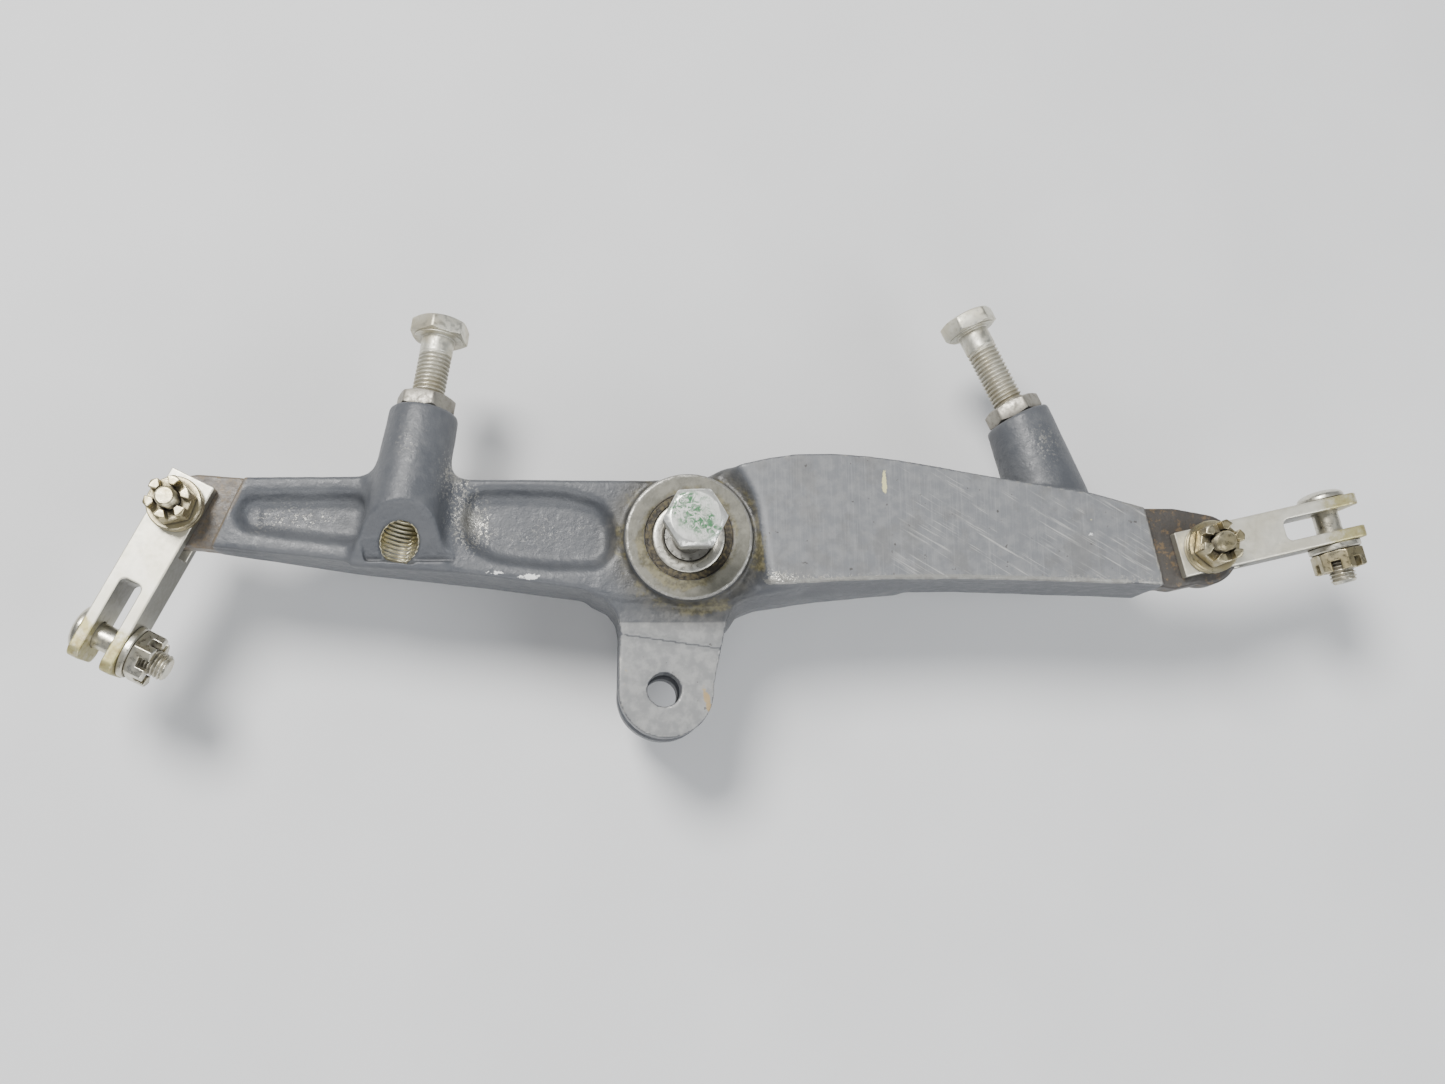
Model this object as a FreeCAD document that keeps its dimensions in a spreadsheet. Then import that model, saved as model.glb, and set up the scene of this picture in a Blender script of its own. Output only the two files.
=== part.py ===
import FreeCAD, Part
import math
import os
import Sketcher
from FreeCAD import Vector, Placement, Rotation

# Flight-control bellcrank: a cast two-armed crank that turns on a ball-bearing
# pivot bolt, with two adjustable stop bolts, a forked lug and a double-clevis
# link at each arm tip.
# Frame: origin on the pivot axis at the lower face of the hub, +Z along the
# pivot towards the bolt head. The heavy (right) arm points along +X, the light
# (left) arm along -X, the stop bolts stand on the +Y side and the lug on the -Y side.

# ---------------------------------------------------------------- driving dimensions
SIZES = {
    # hub and bearings
    "hub_radius": 15.1, "hub_height": 28.0, "hub_core_radius": 8.6,
    "race_seat_radius": 10.32, "race_seat_depth": 8.6, "race_width": 8.0, "race_inset": 0.5,
    "outer_race_bore": 8.75, "inner_race_radius": 5.70, "pivot_bore": 3.99,
    "ball_radius": 1.5, "ball_pitch": 7.22, "ball_groove": 1.53,
    "shield_outer": 8.75, "shield_inner": 5.85, "shield_thick": 0.5, "spacer_radius": 5.6,
    # pivot bolt
    "pivot_bolt_radius": 3.97, "pivot_underhead": 46.0, "pivot_end": 16.0,
    "pivot_thread_radius": 3.8, "pivot_grip_end": -0.2,
    "pivot_head_flats": 12.7, "pivot_head_height": 5.8,
    # arms
    "left_arm_base": 1.0, "left_arm_top": 24.0, "left_pocket_depth": 3.4,
    "right_arm_base": 5.0, "right_arm_top": 28.0, "web_top": 24.0, "flare_top": 17.0,
    "tongue_thick": 6.35, "left_tongue_base": 14.65, "right_tongue_base": 18.45,
    # lug
    "lug_base": -2.0, "lug_top": 22.0, "lug_bore": 3.97, "lug_radius": 11.3,
    "lug_gap_base": 5.5, "lug_gap_top": 14.0, "lug_x": -5.3, "lug_y": -35.4,
    # stop bolts and their bosses
    "stop_radius": 3.93, "stop_bore": 3.97, "stop_head_flats": 12.7,
    "stop_head_height": 4.4, "jam_flats": 12.7, "jam_height": 4.0,
    "left_stop_out": 19.4, "left_stop_in": 22.0, "right_stop_out": 25.0, "right_stop_in": 20.0,
    "left_boss_end": 8.1, "left_boss_root": 9.6, "left_boss_length": 40.0,
    "right_boss_end": 8.1, "right_boss_root": 10.3, "right_boss_length": 32.0,
    "right_tap_depth": 26.0,
    # links
    "link_width": 11.1, "link_depth": 12.7, "link_heel": 7.5, "link_reach": 41.0,
    "link_tip_corner": 2.6, "fork_gap": 6.65, "fork_root": 10.5, "clevis_gap": 5.4,
    "clevis_root": 20.0, "clevis_pin_at": 34.2, "clevis_corner": 1.4,
    # arm bolts (3/16 in)
    "arm_bolt_radius": 2.38, "arm_bolt_bore": 2.42, "bush_radius": 3.6,
    "arm_head_flats": 9.53, "arm_head_height": 3.2, "arm_washer_radius": 6.35,
    "arm_washer_thick": 1.6, "arm_nut_height": 6.35, "arm_bolt_proud": 2.0,
    "arm_slot_width": 2.3, "arm_slot_depth": 2.5,
    # clevis bolts (1/4 in)
    "clevis_radius": 3.155, "clevis_bore": 3.20, "clevis_head_radius": 5.7,
    "clevis_head_height": 2.6, "clevis_washer_radius": 6.35, "clevis_washer_thick": 1.6,
    "clevis_nut_flats": 11.1, "clevis_nut_height": 5.0, "clevis_proud": 3.2,
    "clevis_slot_width": 2.2, "clevis_slot_depth": 2.4,
    # clearance between stacked parts
    "face_gap": 0.02,
}

doc = FreeCAD.newDocument("bellcrank")
sheet = doc.addObject("Spreadsheet::Sheet", "Sheet")
for row, (alias, value) in enumerate(SIZES.items(), start=1):
    sheet.set("A%d" % row, alias)
    sheet.set("B%d" % row, repr(value))
    sheet.setAlias("B%d" % row, alias)
doc.recompute()


def unit(x, y, z):
    vector = Vector(x, y, z)
    vector.normalize()
    return vector


# ---------------------------------------------------------------- key places
SIDES = ("left", "right")
Z_AXIS = Vector(0, 0, 1)
PIN = {"left": (-118.5, 7.9), "right": (126.0, -2.9)}       # arm bolt axes (x, y)
LINK_ANGLE = {"left": 243.0, "right": 12.5}                 # about +Z, from +X
# centre of each boss's end face, and the direction its stop bolt points outwards
BOSS = {"left": Vector(-62.6, 30.7, 22.0), "right": Vector(84.2, 32.7, 14.0)}
STOP_AXIS = {"left": unit(0.149, 1.0, -0.125), "right": unit(-0.41, 0.912, -0.04)}
RIGHT_BARREL_AXIS = unit(-0.30, 0.953, -0.04)

PIECES = {}                                                 # file name -> object


# ---------------------------------------------------------------- helpers
def refs(expression):
    """Turn the alias words in an expression into sheet references."""
    out = word = ""
    for char in str(expression) + " ":
        if char.isalnum() or char == "_":
            word += char
        else:
            out += ("Sheet." + word if word in SIZES else word) + char
            word = ""
    return out.strip()


def primitive(kind, name, base=None, turn=0.0, **dims):
    """Part primitive with bound dimensions, turned about Z and raised to base."""
    solid = doc.addObject("Part::" + kind, name)
    for prop, expression in dims.items():
        solid.setExpression(prop, refs(expression))
    solid.Placement = Placement(Vector(0, 0, 0), Rotation(Z_AXIS, turn))
    if base is not None:
        solid.setExpression("Placement.Base.z", refs(base))
    return solid


def cylinder(name, radius, height, base=None):
    return primitive("Cylinder", name, base, Radius=radius, Height=height)


def hexagon(name, flats, height, base, turn=0.0):
    prism = primitive("Prism", name, base, turn,
                      Circumradius="(%s) / sqrt(3)" % flats, Height=height)
    prism.Polygon = 6
    return prism


def box(name, length, width, height, corner=(0, 0, 0)):
    block = primitive("Box", name, Length=length, Width=width, Height=height)
    block.Placement = Placement(Vector(*corner), Rotation())
    return block


def fuse(name, items, refine=True):
    joined = doc.addObject("Part::MultiFuse", name)
    joined.Shapes = items
    joined.Refine = refine
    return joined


def boolean(kind, name, base, tool):
    result = doc.addObject("Part::" + kind, name)
    result.Base = base
    result.Tool = tool
    return result


def cut(name, base, tool):
    return boolean("Cut", name, base, tool)


def common(name, base, tool):
    return boolean("Common", name, base, tool)


def fixed(name, shapes):
    """Plain feature that holds a compound of shapes."""
    feature = doc.addObject("Part::Feature", name)
    feature.Shape = Part.makeCompound(shapes)
    return feature


def flat_ring(outer, inner, thick, z, bore_thick):
    centre = Vector(0, 0, z)
    return Part.makeCylinder(outer, thick, centre).cut(
        Part.makeCylinder(inner, bore_thick, centre))


def new_body(name):
    return doc.addObject("PartDesign::Body", name)


def new_sketch(body, name, level, role):
    sketch = body.newObject("Sketcher::SketchObject", name)
    plane = [f for f in body.Origin.OriginFeatures if f.Role == role][0]
    sketch.AttachmentSupport = [(plane, "")]
    sketch.MapMode = "FlatFace"
    if level is not None:
        sketch.setExpression("AttachmentOffset.Base.z", refs(level))
    return sketch


def outline(body, name, points, level=None, role="XY_Plane"):
    """Sketch of a closed run of straight edges through the points."""
    sketch = new_sketch(body, name, level, role)
    count = len(points)
    for i in range(count):
        start, end = points[i], points[(i + 1) % count]
        sketch.addGeometry(Part.LineSegment(Vector(*start, 0), Vector(*end, 0)), False)
    for i in range(count):
        sketch.addConstraint(Sketcher.Constraint("Coincident", i, 2, (i + 1) % count, 1))
    return sketch


def circle(body, name, x, y, radius, level=None, role="XY_Plane"):
    """Sketch of a circle at a fixed centre; radius is an alias it follows."""
    sketch = new_sketch(body, name, level, role)
    edge = sketch.addGeometry(Part.Circle(Vector(x, y, 0), Z_AXIS, SIZES[radius]), False)
    limit = sketch.addConstraint(Sketcher.Constraint("Radius", edge, SIZES[radius]))
    sketch.setExpression("Constraints[%d]" % limit, refs(radius))
    return sketch


def extrude(kind, body, name, profile, length, **options):
    feature = body.newObject("PartDesign::" + kind, name)
    feature.Profile = profile
    for option, value in options.items():
        setattr(feature, option, value)
    feature.setExpression("Length", refs(length))
    doc.recompute()


def pad(body, name, profile, length, **options):
    extrude("Pad", body, name, profile, length, **options)


def pocket(body, name, profile, length, **options):
    extrude("Pocket", body, name, profile, length, **options)


def turn_about_z(kind, body, name, profile):
    feature = body.newObject("PartDesign::" + kind, name)
    feature.Profile = profile
    feature.ReferenceAxis = (profile, ["V_Axis"])
    feature.Angle = 360.0
    doc.recompute()


def revolved(name, points):
    """Body turned about Z from a profile of (radius, z) points."""
    body = new_body(name)
    profile = outline(body, name + "_profile", points, role="XZ_Plane")
    turn_about_z("Revolution", body, name + "_turn", profile)
    return body


def arc_points(x, y, radius, start, end, steps):
    """Points along an arc about (x, y), both ends included; angles in degrees."""
    angles = [math.radians(start + (end - start) * i / steps) for i in range(steps + 1)]
    return [(x + radius * math.cos(a), y + radius * math.sin(a)) for a in angles]


def aim(direction):
    """Rotation that carries +Z onto the direction."""
    return Rotation(Z_AXIS, direction)


def pin_place(side, angle):
    """Placement on an arm bolt axis at mid tongue, turned by angle about Z."""
    middle = SIZES[side + "_tongue_base"] + SIZES["tongue_thick"] / 2
    return Placement(Vector(*PIN[side], middle), Rotation(Z_AXIS, angle))


def piece(name, obj, placement=None):
    """Label an object and list it for export."""
    obj.Label = name
    if placement is not None:
        obj.Placement = placement
    PIECES[name] = obj


# ---------------------------------------------------------------- the casting
# Outlines seen from +Z, as (x, y) points.
LEFT_ARM = [
    (-104.0, 14.9), (-73.0, 15.2), (-48.7, 14.5), (-7.0, 14.4), (4.0, 8.0), (4.0, -12.0),
    (-8.0, -14.2), (-16.0, -14.0), (-20.4, -13.0), (-26.0, -11.7), (-51.3, -8.2),
    (-61.8, -7.0), (-78.8, -5.2), (-110.8, -1.6)]
RIGHT_WEB = [
    (-3.0, 14.7), (3.7, 14.9), (9.9, 16.7), (19.3, 19.1), (26.0, 19.7), (26.0, -10.9),
    (17.0, -13.5), (10.0, -15.5), (-3.0, -14.0)]
RIGHT_FLARE = [
    (2.0, 10.0), (40.0, 10.0), (52.0, -9.6), (41.9, -11.2), (33.0, -12.3), (25.8, -13.5),
    (17.1, -15.2), (12.4, -16.9), (9.8, -19.8), (2.0, -19.0)]
RIGHT_ARM = [
    (12.6, 17.5), (19.2, 19.1), (25.6, 20.0), (35.0, 20.2), (43.0, 19.7), (50.9, 18.7),
    (66.9, 15.9), (76.7, 14.2), (84.9, 12.9), (97.5, 10.9), (110.9, 7.2), (114.6, -11.9),
    (102.8, -11.4), (83.7, -10.7), (64.6, -10.2), (49.9, -10.2), (32.7, -10.8),
    (21.7, -11.4), (17.4, -11.3), (16.2, 0.0), (15.4, 8.0)]
LUG = ([(11.0, -10.0), (9.9, -17.0), (8.9, -20.5)]
       + arc_points(SIZES["lug_x"], SIZES["lug_y"], SIZES["lug_radius"], 4, -186, 30)
       + [(-16.2, -21.0), (-16.9, -17.6), (-18.8, -14.8), (-22.0, -12.8), (-20.0, -9.0)])
LUG_GAP = [(-30.0, -60.0), (20.0, -60.0), (20.0, -23.0), (-30.0, -23.0)]
LUG_STEP = [(-18.0, -22.0), (9.5, -25.8), (9.5, -50.0), (-18.0, -50.0)]
LEFT_TONGUE = ([(-100.0, 14.6), (-104.0, 15.2), (-115.0, 16.1)]
               + arc_points(*PIN["left"], 7.9, 80, 210, 14)
               + [(-121.5, -1.0), (-114.6, -1.4), (-100.0, -3.0)])
RIGHT_TONGUE = ([(108.0, 6.0), (111.0, 7.4), (119.0, 7.4)]
                + arc_points(*PIN["right"], 8.4, 76, -104, 18)
                + [(118.0, -12.4), (113.8, -11.7), (108.0, -9.0)])
OUTER_POCKET = (arc_points(-100.8, 6.3, 4.4, 100, 258, 10)
                + [(-80.0, -0.7), (-77.0, 1.5), (-76.4, 9.0), (-79.0, 10.8)])
INNER_POCKET = [
    (-51.5, 11.0), (-47.0, 11.9), (-30.0, 11.6), (-20.5, 8.8), (-17.4, 4.0), (-17.6, -3.0),
    (-21.0, -6.6), (-30.0, -7.0), (-46.4, -5.0), (-52.0, -1.0), (-53.0, 4.5)]
# Material removed below the light arm, as (x, z) points.
LEFT_TAPER = [(-76.0, -5.0), (-76.0, 1.0), (-112.0, 12.0), (-130.0, 12.0), (-130.0, -5.0)]
TAPER_CUT_WIDTH = 120.0
LUG_STEP_DEPTH = 0.5
LUG_EYE_SHIFT = -0.5                # bore centre from the centre of the lug's round, in x


def add_plate(body, name, points, base, top):
    profile = outline(body, name + "_outline", points, base)
    pad(body, name, profile, "%s - %s" % (top, base))


def add_arms_and_hub(crank):
    add_plate(crank, "left_arm", LEFT_ARM, "left_arm_base", "left_arm_top")
    pad(crank, "hub", circle(crank, "hub_outline", 0, 0, "hub_radius"), "hub_height")
    # the heavy arm: a lower web by the hub, a flare on its -Y flank, and the thick plate
    add_plate(crank, "right_web", RIGHT_WEB, "right_arm_base", "web_top")
    add_plate(crank, "right_flare", RIGHT_FLARE, "right_arm_base", "flare_top")
    add_plate(crank, "right_arm", RIGHT_ARM, "right_arm_base", "right_arm_top")


def add_lug(crank):
    """Lug forked by a horizontal gap, bored, with a shallow step on the upper ear."""
    add_plate(crank, "lug", LUG, "lug_base", "lug_top")
    pocket(crank, "lug_gap", outline(crank, "lug_gap_outline", LUG_GAP, "lug_gap_top"),
           "lug_gap_top - lug_gap_base")
    eye = circle(crank, "lug_eye", SIZES["lug_x"] + LUG_EYE_SHIFT, SIZES["lug_y"],
                 "lug_bore", "lug_top")
    pocket(crank, "lug_hole", eye, "lug_top - lug_base")
    pocket(crank, "lug_step", outline(crank, "lug_step_outline", LUG_STEP, "lug_top"),
           LUG_STEP_DEPTH)


def add_tongues(crank):
    for side, points in (("left", LEFT_TONGUE), ("right", RIGHT_TONGUE)):
        name = side + "_tongue"
        profile = outline(crank, name + "_outline", points, name + "_base")
        pad(crank, name, profile, "tongue_thick")


def shape_left_arm(crank):
    """Underside rising towards the tip, and two shallow pockets in the upper face."""
    taper = outline(crank, "left_taper_outline", LEFT_TAPER, role="XZ_Plane")
    pocket(crank, "left_taper", taper, TAPER_CUT_WIDTH, Midplane=True)
    for name, points in (("outer_pocket", OUTER_POCKET), ("inner_pocket", INNER_POCKET)):
        profile = outline(crank, name + "_outline", points, "left_arm_top")
        pocket(crank, name, profile, "left_pocket_depth")


def bore_crank(crank):
    """Core bore, bearing seats at both ends of the hub, and holes for the arm bushes."""
    core = circle(crank, "core_outline", 0, 0, "hub_core_radius", "hub_height")
    pocket(crank, "core_bore", core, "hub_height")
    upper = circle(crank, "upper_seat_outline", 0, 0, "race_seat_radius", "hub_height")
    pocket(crank, "upper_seat", upper, "race_seat_depth")
    lower = circle(crank, "lower_seat_outline", 0, 0, "race_seat_radius")
    pocket(crank, "lower_seat", lower, "race_seat_depth", Reversed=True)
    for side in SIDES:
        hole = circle(crank, side + "_bush_outline", *PIN[side], "bush_radius",
                      side + "_tongue_base + tongue_thick")
        pocket(crank, side + "_bush_hole", hole, "tongue_thick")


# The light arm's boss ends in an inclined flat that its tapped hole runs out of.
FACET_POINT = Vector(-67.4, -1.7, 26.05)
FACET_TILT = 41.0                   # about +X
FACET_CORNER = Vector(-30, -40, 0)  # cutter corner from that point, in the tilted frame
TRIM_SIZE = 60.0                    # long enough to pass right through either boss
SCOOP_RADIUS = 9.3
SCOOP_FOOT = Vector(-66.9, -1.2, -5.0)
RIGHT_BOSS_OVERRUN = 2.0            # barrel beyond its end face, before facing
FACING_CUTTER = 20.0                # radius and height
TAP_LEAD = 10.0                     # tap cutter outside the boss face
TAP_LENGTH = {"left": "left_boss_length + 6.6",
              "right": "right_tap_depth + %s" % TAP_LEAD}


def boss_cone(side, position, axis):
    """Tapered barrel that widens from its end into the arm."""
    name = side + "_boss"
    cone = primitive("Cone", name, Radius1=name + "_end", Radius2=name + "_root",
                     Height=name + "_length")
    cone.Placement = Placement(position, aim(-axis))
    return cone


def add_left_boss(crank):
    boss = boss_cone("left", BOSS["left"], STOP_AXIS["left"])
    facet = box("left_facet_cutter", TRIM_SIZE, TRIM_SIZE, TRIM_SIZE)
    facet.Placement = Placement(FACET_POINT, Rotation(Vector(1, 0, 0), FACET_TILT)).multiply(
        Placement(FACET_CORNER, Rotation()))
    faceted = cut("left_barrel_a", boss, facet)
    # keep the barrel inside the arm's underside and its -Y flank
    floor = box("left_floor", TRIM_SIZE, 90, 40, (-100, -40, 2))
    floored = common("left_barrel", faceted, floor)
    flank = box("left_side", TRIM_SIZE, 55, TRIM_SIZE, (-100, -5.3, -10))
    barrel = common("left_barrel_b", floored, flank)
    joined = fuse("casting_left_full", [crank, barrel], False)
    # the flat runs on into the arm as far as the hole's lower edge
    scoop = cylinder("scoop_round", SCOOP_RADIUS, TRIM_SIZE)
    scoop.Placement = Placement(SCOOP_FOOT, Rotation())
    scoop = common("scoop_a", scoop, flank)
    scoop = common("scoop_b", scoop, facet)
    return cut("casting_left", joined, scoop)


def add_right_boss(casting):
    """The barrel leans less than its tapped hole; its end is faced square to the hole."""
    start = BOSS["right"] + RIGHT_BARREL_AXIS * RIGHT_BOSS_OVERRUN
    boss = boss_cone("right", start, RIGHT_BARREL_AXIS)
    facing = cylinder("right_facing", FACING_CUTTER, FACING_CUTTER)
    facing.Placement = Placement(BOSS["right"], aim(STOP_AXIS["right"]))
    faced = cut("right_boss_faced", boss, facing)
    foot = box("right_foot", TRIM_SIZE, TRIM_SIZE, 24.7, (60, -8, 2.6))
    barrel = common("right_barrel", faced, foot)
    return fuse("casting_solid", [casting, barrel], False)


def tap_hole(side, casting, name):
    axis = STOP_AXIS[side]
    tap = cylinder(side + "_tap", "stop_bore", TAP_LENGTH[side])
    tap.Placement = Placement(BOSS[side] + axis * TAP_LEAD, aim(-axis))
    return cut(name, casting, tap)


def make_casting():
    crank = new_body("crank_form")
    add_arms_and_hub(crank)
    add_lug(crank)
    add_tongues(crank)
    shape_left_arm(crank)
    bore_crank(crank)
    casting = add_right_boss(add_left_boss(crank))
    casting = tap_hole("left", casting, "casting_tapped")
    piece("bellcrank_casting", tap_hole("right", casting, "casting_cut"))


# ---------------------------------------------------------------- bearings
BALL_COUNT = 14
OUTER_LAND_RADIUS = 7.85            # outer race, beside the ball track
INNER_LAND_RADIUS = 6.55            # inner race, beside the ball track
LAND_HALF = 1.9                     # half width of the land
SHOULDER_HALF = 2.1                 # half width where the land meets the plain bore
SHIELD_INSET = 0.25                 # from the race's end face
LOWER_RACE_BASE = SIZES["race_inset"]
UPPER_RACE_BASE = SIZES["hub_height"] - SIZES["race_inset"] - SIZES["race_width"]


def race(level, kind, points, middle):
    """Turned race with a ball track at height middle."""
    name = "%s_%s" % (level, kind)
    body = revolved(name + "_race", points)
    track = circle(body, name + "_track", SIZES["ball_pitch"], middle, "ball_groove",
                   role="XZ_Plane")
    turn_about_z("Groove", body, name + "_groove", track)
    piece(name + "_race", body)


def make_bearing(level, base):
    top = base + SIZES["race_width"]
    middle = base + SIZES["race_width"] / 2
    seat = SIZES["race_seat_radius"]
    bore = SIZES["outer_race_bore"]
    race(level, "outer", [
        (seat, base), (seat, top), (bore, top),
        (bore, middle + SHOULDER_HALF), (OUTER_LAND_RADIUS, middle + LAND_HALF),
        (OUTER_LAND_RADIUS, middle - LAND_HALF), (bore, middle - SHOULDER_HALF),
        (bore, base)], middle)
    bore = SIZES["pivot_bore"]
    rim = SIZES["inner_race_radius"]
    race(level, "inner", [
        (bore, base), (rim, base), (rim, middle - SHOULDER_HALF),
        (INNER_LAND_RADIUS, middle - LAND_HALF), (INNER_LAND_RADIUS, middle + LAND_HALF),
        (rim, middle + SHOULDER_HALF), (rim, top), (bore, top)], middle)

    pitch = SIZES["ball_pitch"]
    angles = [2 * math.pi * k / BALL_COUNT for k in range(BALL_COUNT)]
    piece(level + "_balls", fixed(level + "_balls", [
        Part.makeSphere(SIZES["ball_radius"],
                        Vector(pitch * math.cos(a), pitch * math.sin(a), middle))
        for a in angles]))

    # a thin shield closes each side of the bearing
    thick = SIZES["shield_thick"]
    piece(level + "_shields", fixed(level + "_shields", [
        flat_ring(SIZES["shield_outer"], SIZES["shield_inner"], thick, z, thick)
        for z in (base + SHIELD_INSET, top - SHIELD_INSET - thick)]))


def make_race_spacer():
    """Tube between the two inner races."""
    base = LOWER_RACE_BASE + SIZES["race_width"]
    bore, rim = SIZES["pivot_bore"], SIZES["spacer_radius"]
    piece("race_spacer", revolved("race_spacer", [
        (bore, base), (rim, base), (rim, UPPER_RACE_BASE), (bore, UPPER_RACE_BASE)]))


# ---------------------------------------------------------------- pivot and stop bolts
PIVOT_HEAD_TURN = 2.0
STOP_HEAD_TURN = {"left": 12.0, "right": 20.0}
JAM_NUT_TURN = {"left": 40.0, "right": 5.0}


def make_pivot_bolt():
    shank = cylinder("pivot_shank", "pivot_bolt_radius", "pivot_underhead + pivot_grip_end",
                     "-pivot_grip_end")
    screw = cylinder("pivot_screw", "pivot_thread_radius", "pivot_end - pivot_grip_end",
                     "-pivot_end")
    head = hexagon("pivot_head", "pivot_head_flats", "pivot_head_height",
                   "pivot_underhead", PIVOT_HEAD_TURN)
    piece("pivot_bolt", fuse("pivot_bolt_solid", [shank, screw, head]))


def make_stop(side):
    """Stop bolt and its jam nut; local z is zero at the boss face and +Z points outwards."""
    name = side + "_stop"
    place = Placement(BOSS[side], aim(STOP_AXIS[side]))
    shank = cylinder(name + "_shank", "stop_radius", "%s_out + %s_in" % (name, name),
                     "-%s_in" % name)
    head = hexagon(name + "_head", "stop_head_flats", "stop_head_height", name + "_out",
                   STOP_HEAD_TURN[side])
    piece(name + "_bolt", fuse(name + "_bolt_solid", [shank, head]), place)
    blank = hexagon(side + "_jam_blank", "jam_flats", "jam_height", "face_gap",
                    JAM_NUT_TURN[side])
    bore = cylinder(side + "_jam_bore", "stop_bore", "jam_height + 2", "-1")
    piece(name + "_jam_nut", cut(side + "_jam", blank, bore), place)


# ---------------------------------------------------------------- links
LINK_CUT = 40.0                     # symmetric cut right through the bar
FORK_OPEN_END = -20.0               # beyond the heel
CLEVIS_OPEN_END = 60.0              # beyond the tip


def make_link(side):
    """Double clevis bar: local +X runs from the arm pin towards the clevis pin,
    local origin on the arm pin at mid depth."""
    bar = new_body(side + "_link_bar")
    # side view: square heel, blunt clevis end with rounded corners
    half = SIZES["link_depth"] / 2
    heel = -SIZES["link_heel"]
    corner = SIZES["link_tip_corner"]
    corner_x = SIZES["link_reach"] - corner
    side_view = ([(heel, -half)] + arc_points(corner_x, corner - half, corner, -90, 0, 8)
                 + arc_points(corner_x, half - corner, corner, 0, 90, 8) + [(heel, half)])
    profile = outline(bar, side + "_side", side_view, role="XZ_Plane")
    pad(bar, side + "_bar", profile, "link_width", Midplane=True)
    # horizontal gap over the tongue
    half = SIZES["fork_gap"] / 2
    root = SIZES["fork_root"]
    fork = [(FORK_OPEN_END, -half), (root, -half), (root, half), (FORK_OPEN_END, half)]
    profile = outline(bar, side + "_fork_side", fork, role="XZ_Plane")
    pocket(bar, side + "_fork", profile, LINK_CUT, Midplane=True)
    # vertical gap at the clevis end, with rounded inner corners
    half = SIZES["clevis_gap"] / 2
    corner = SIZES["clevis_corner"]
    corner_x = SIZES["clevis_root"] + corner
    clevis = ([(CLEVIS_OPEN_END, -half), (CLEVIS_OPEN_END, half)]
              + arc_points(corner_x, half - corner, corner, 90, 180, 6)
              + arc_points(corner_x, corner - half, corner, 180, 270, 6))
    profile = outline(bar, side + "_clevis_top", clevis)
    pocket(bar, side + "_clevis", profile, LINK_CUT, Midplane=True)
    # bores for the arm pin and the clevis pin
    eye = circle(bar, side + "_pin_eye", 0, 0, "arm_bolt_bore")
    pocket(bar, side + "_pin_hole", eye, LINK_CUT, Midplane=True)
    eye = circle(bar, side + "_clevis_eye", SIZES["clevis_pin_at"], 0, "clevis_bore",
                 role="XZ_Plane")
    pocket(bar, side + "_clevis_hole", eye, LINK_CUT, Midplane=True)
    piece(side + "_link", bar, pin_place(side, LINK_ANGLE[side]))


# ---------------------------------------------------------------- link fasteners
SLOT_CUT_LENGTH = 30.0
SLOT_CUT_HEIGHT = 10.0
ARM_BOLT_TURN = {"left": 12.0, "right": 20.0}
CLEVIS_BOLT_TURN = {"left": 15.0, "right": 35.0}
CLEVIS_NUT_SIDE = {"left": 1, "right": -1}      # nut on the link's local +Y or -Y side
CLEVIS_DOME_RADIUS = 8.0
# link faces, plus the clearance, that the bolt heads and washers stand on
ARM_SEAT = "link_depth / 2 + face_gap"
CLEVIS_SEAT = "link_width / 2 + face_gap"


def castle_nut(name, bore, flats, height, slot, base):
    """Hexagon nut with three slots across its top; slot is the alias stem of their size."""
    blank = hexagon(name + "_blank", flats, height, base)
    tools = [cylinder(name + "_bore", bore, 20, base + " - 2")]
    corner = Vector(-SLOT_CUT_LENGTH / 2, -SIZES[slot + "_width"] / 2, 0)
    for k in range(3):
        cutter = box("%s_slot%d" % (name, k), SLOT_CUT_LENGTH, slot + "_width",
                     SLOT_CUT_HEIGHT)
        turn = Rotation(Z_AXIS, 30 + 60 * k)
        cutter.Placement = Placement(turn.multVec(corner), turn)
        cutter.setExpression("Placement.Base.z",
                             refs("%s + %s - %s_depth" % (base, height, slot)))
        tools.append(cutter)
    return cut(name, blank, fuse(name + "_tools", tools, False))


def make_arm_pin(side):
    """Bush, bolt with its head below, two washers and a castle nut above, along Z."""
    name = side + "_arm"
    place = pin_place(side, ARM_BOLT_TURN[side])
    nut_base = ARM_SEAT + " + 2 * arm_washer_thick"
    shank = cylinder(name + "_shank", "arm_bolt_radius",
                     "%s + arm_nut_height + arm_bolt_proud + %s" % (nut_base, ARM_SEAT),
                     "-(%s)" % ARM_SEAT)
    head = hexagon(name + "_head", "arm_head_flats", "arm_head_height",
                   "-(%s) - arm_head_height" % ARM_SEAT)
    piece(name + "_bolt", fuse(name + "_bolt_solid", [shank, head]), place)

    # the lower washer is thinner by the clearance, so the two do not touch
    outer, inner = SIZES["arm_washer_radius"], SIZES["arm_bolt_radius"]
    thick, gap = SIZES["arm_washer_thick"], SIZES["face_gap"]
    seat = SIZES["link_depth"] / 2 + gap
    washers = fixed(name + "_washers_solid", [
        flat_ring(outer, inner, thick - gap, seat, thick),
        flat_ring(outer, inner, thick, seat + thick, thick)])
    piece(name + "_washers", washers, place)

    nut = castle_nut(name + "_nut", "arm_bolt_radius", "arm_head_flats", "arm_nut_height",
                     "arm_slot", nut_base)
    piece(name + "_castle_nut", nut, place)

    outer = cylinder(side + "_bush_outer", "bush_radius", "tongue_thick",
                     "-tongue_thick / 2")
    inner = cylinder(side + "_bush_inner", "arm_bolt_bore", "tongue_thick + 2",
                     "-tongue_thick / 2 - 1")
    piece(name + "_bush", cut(side + "_bush", outer, inner), place)


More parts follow.
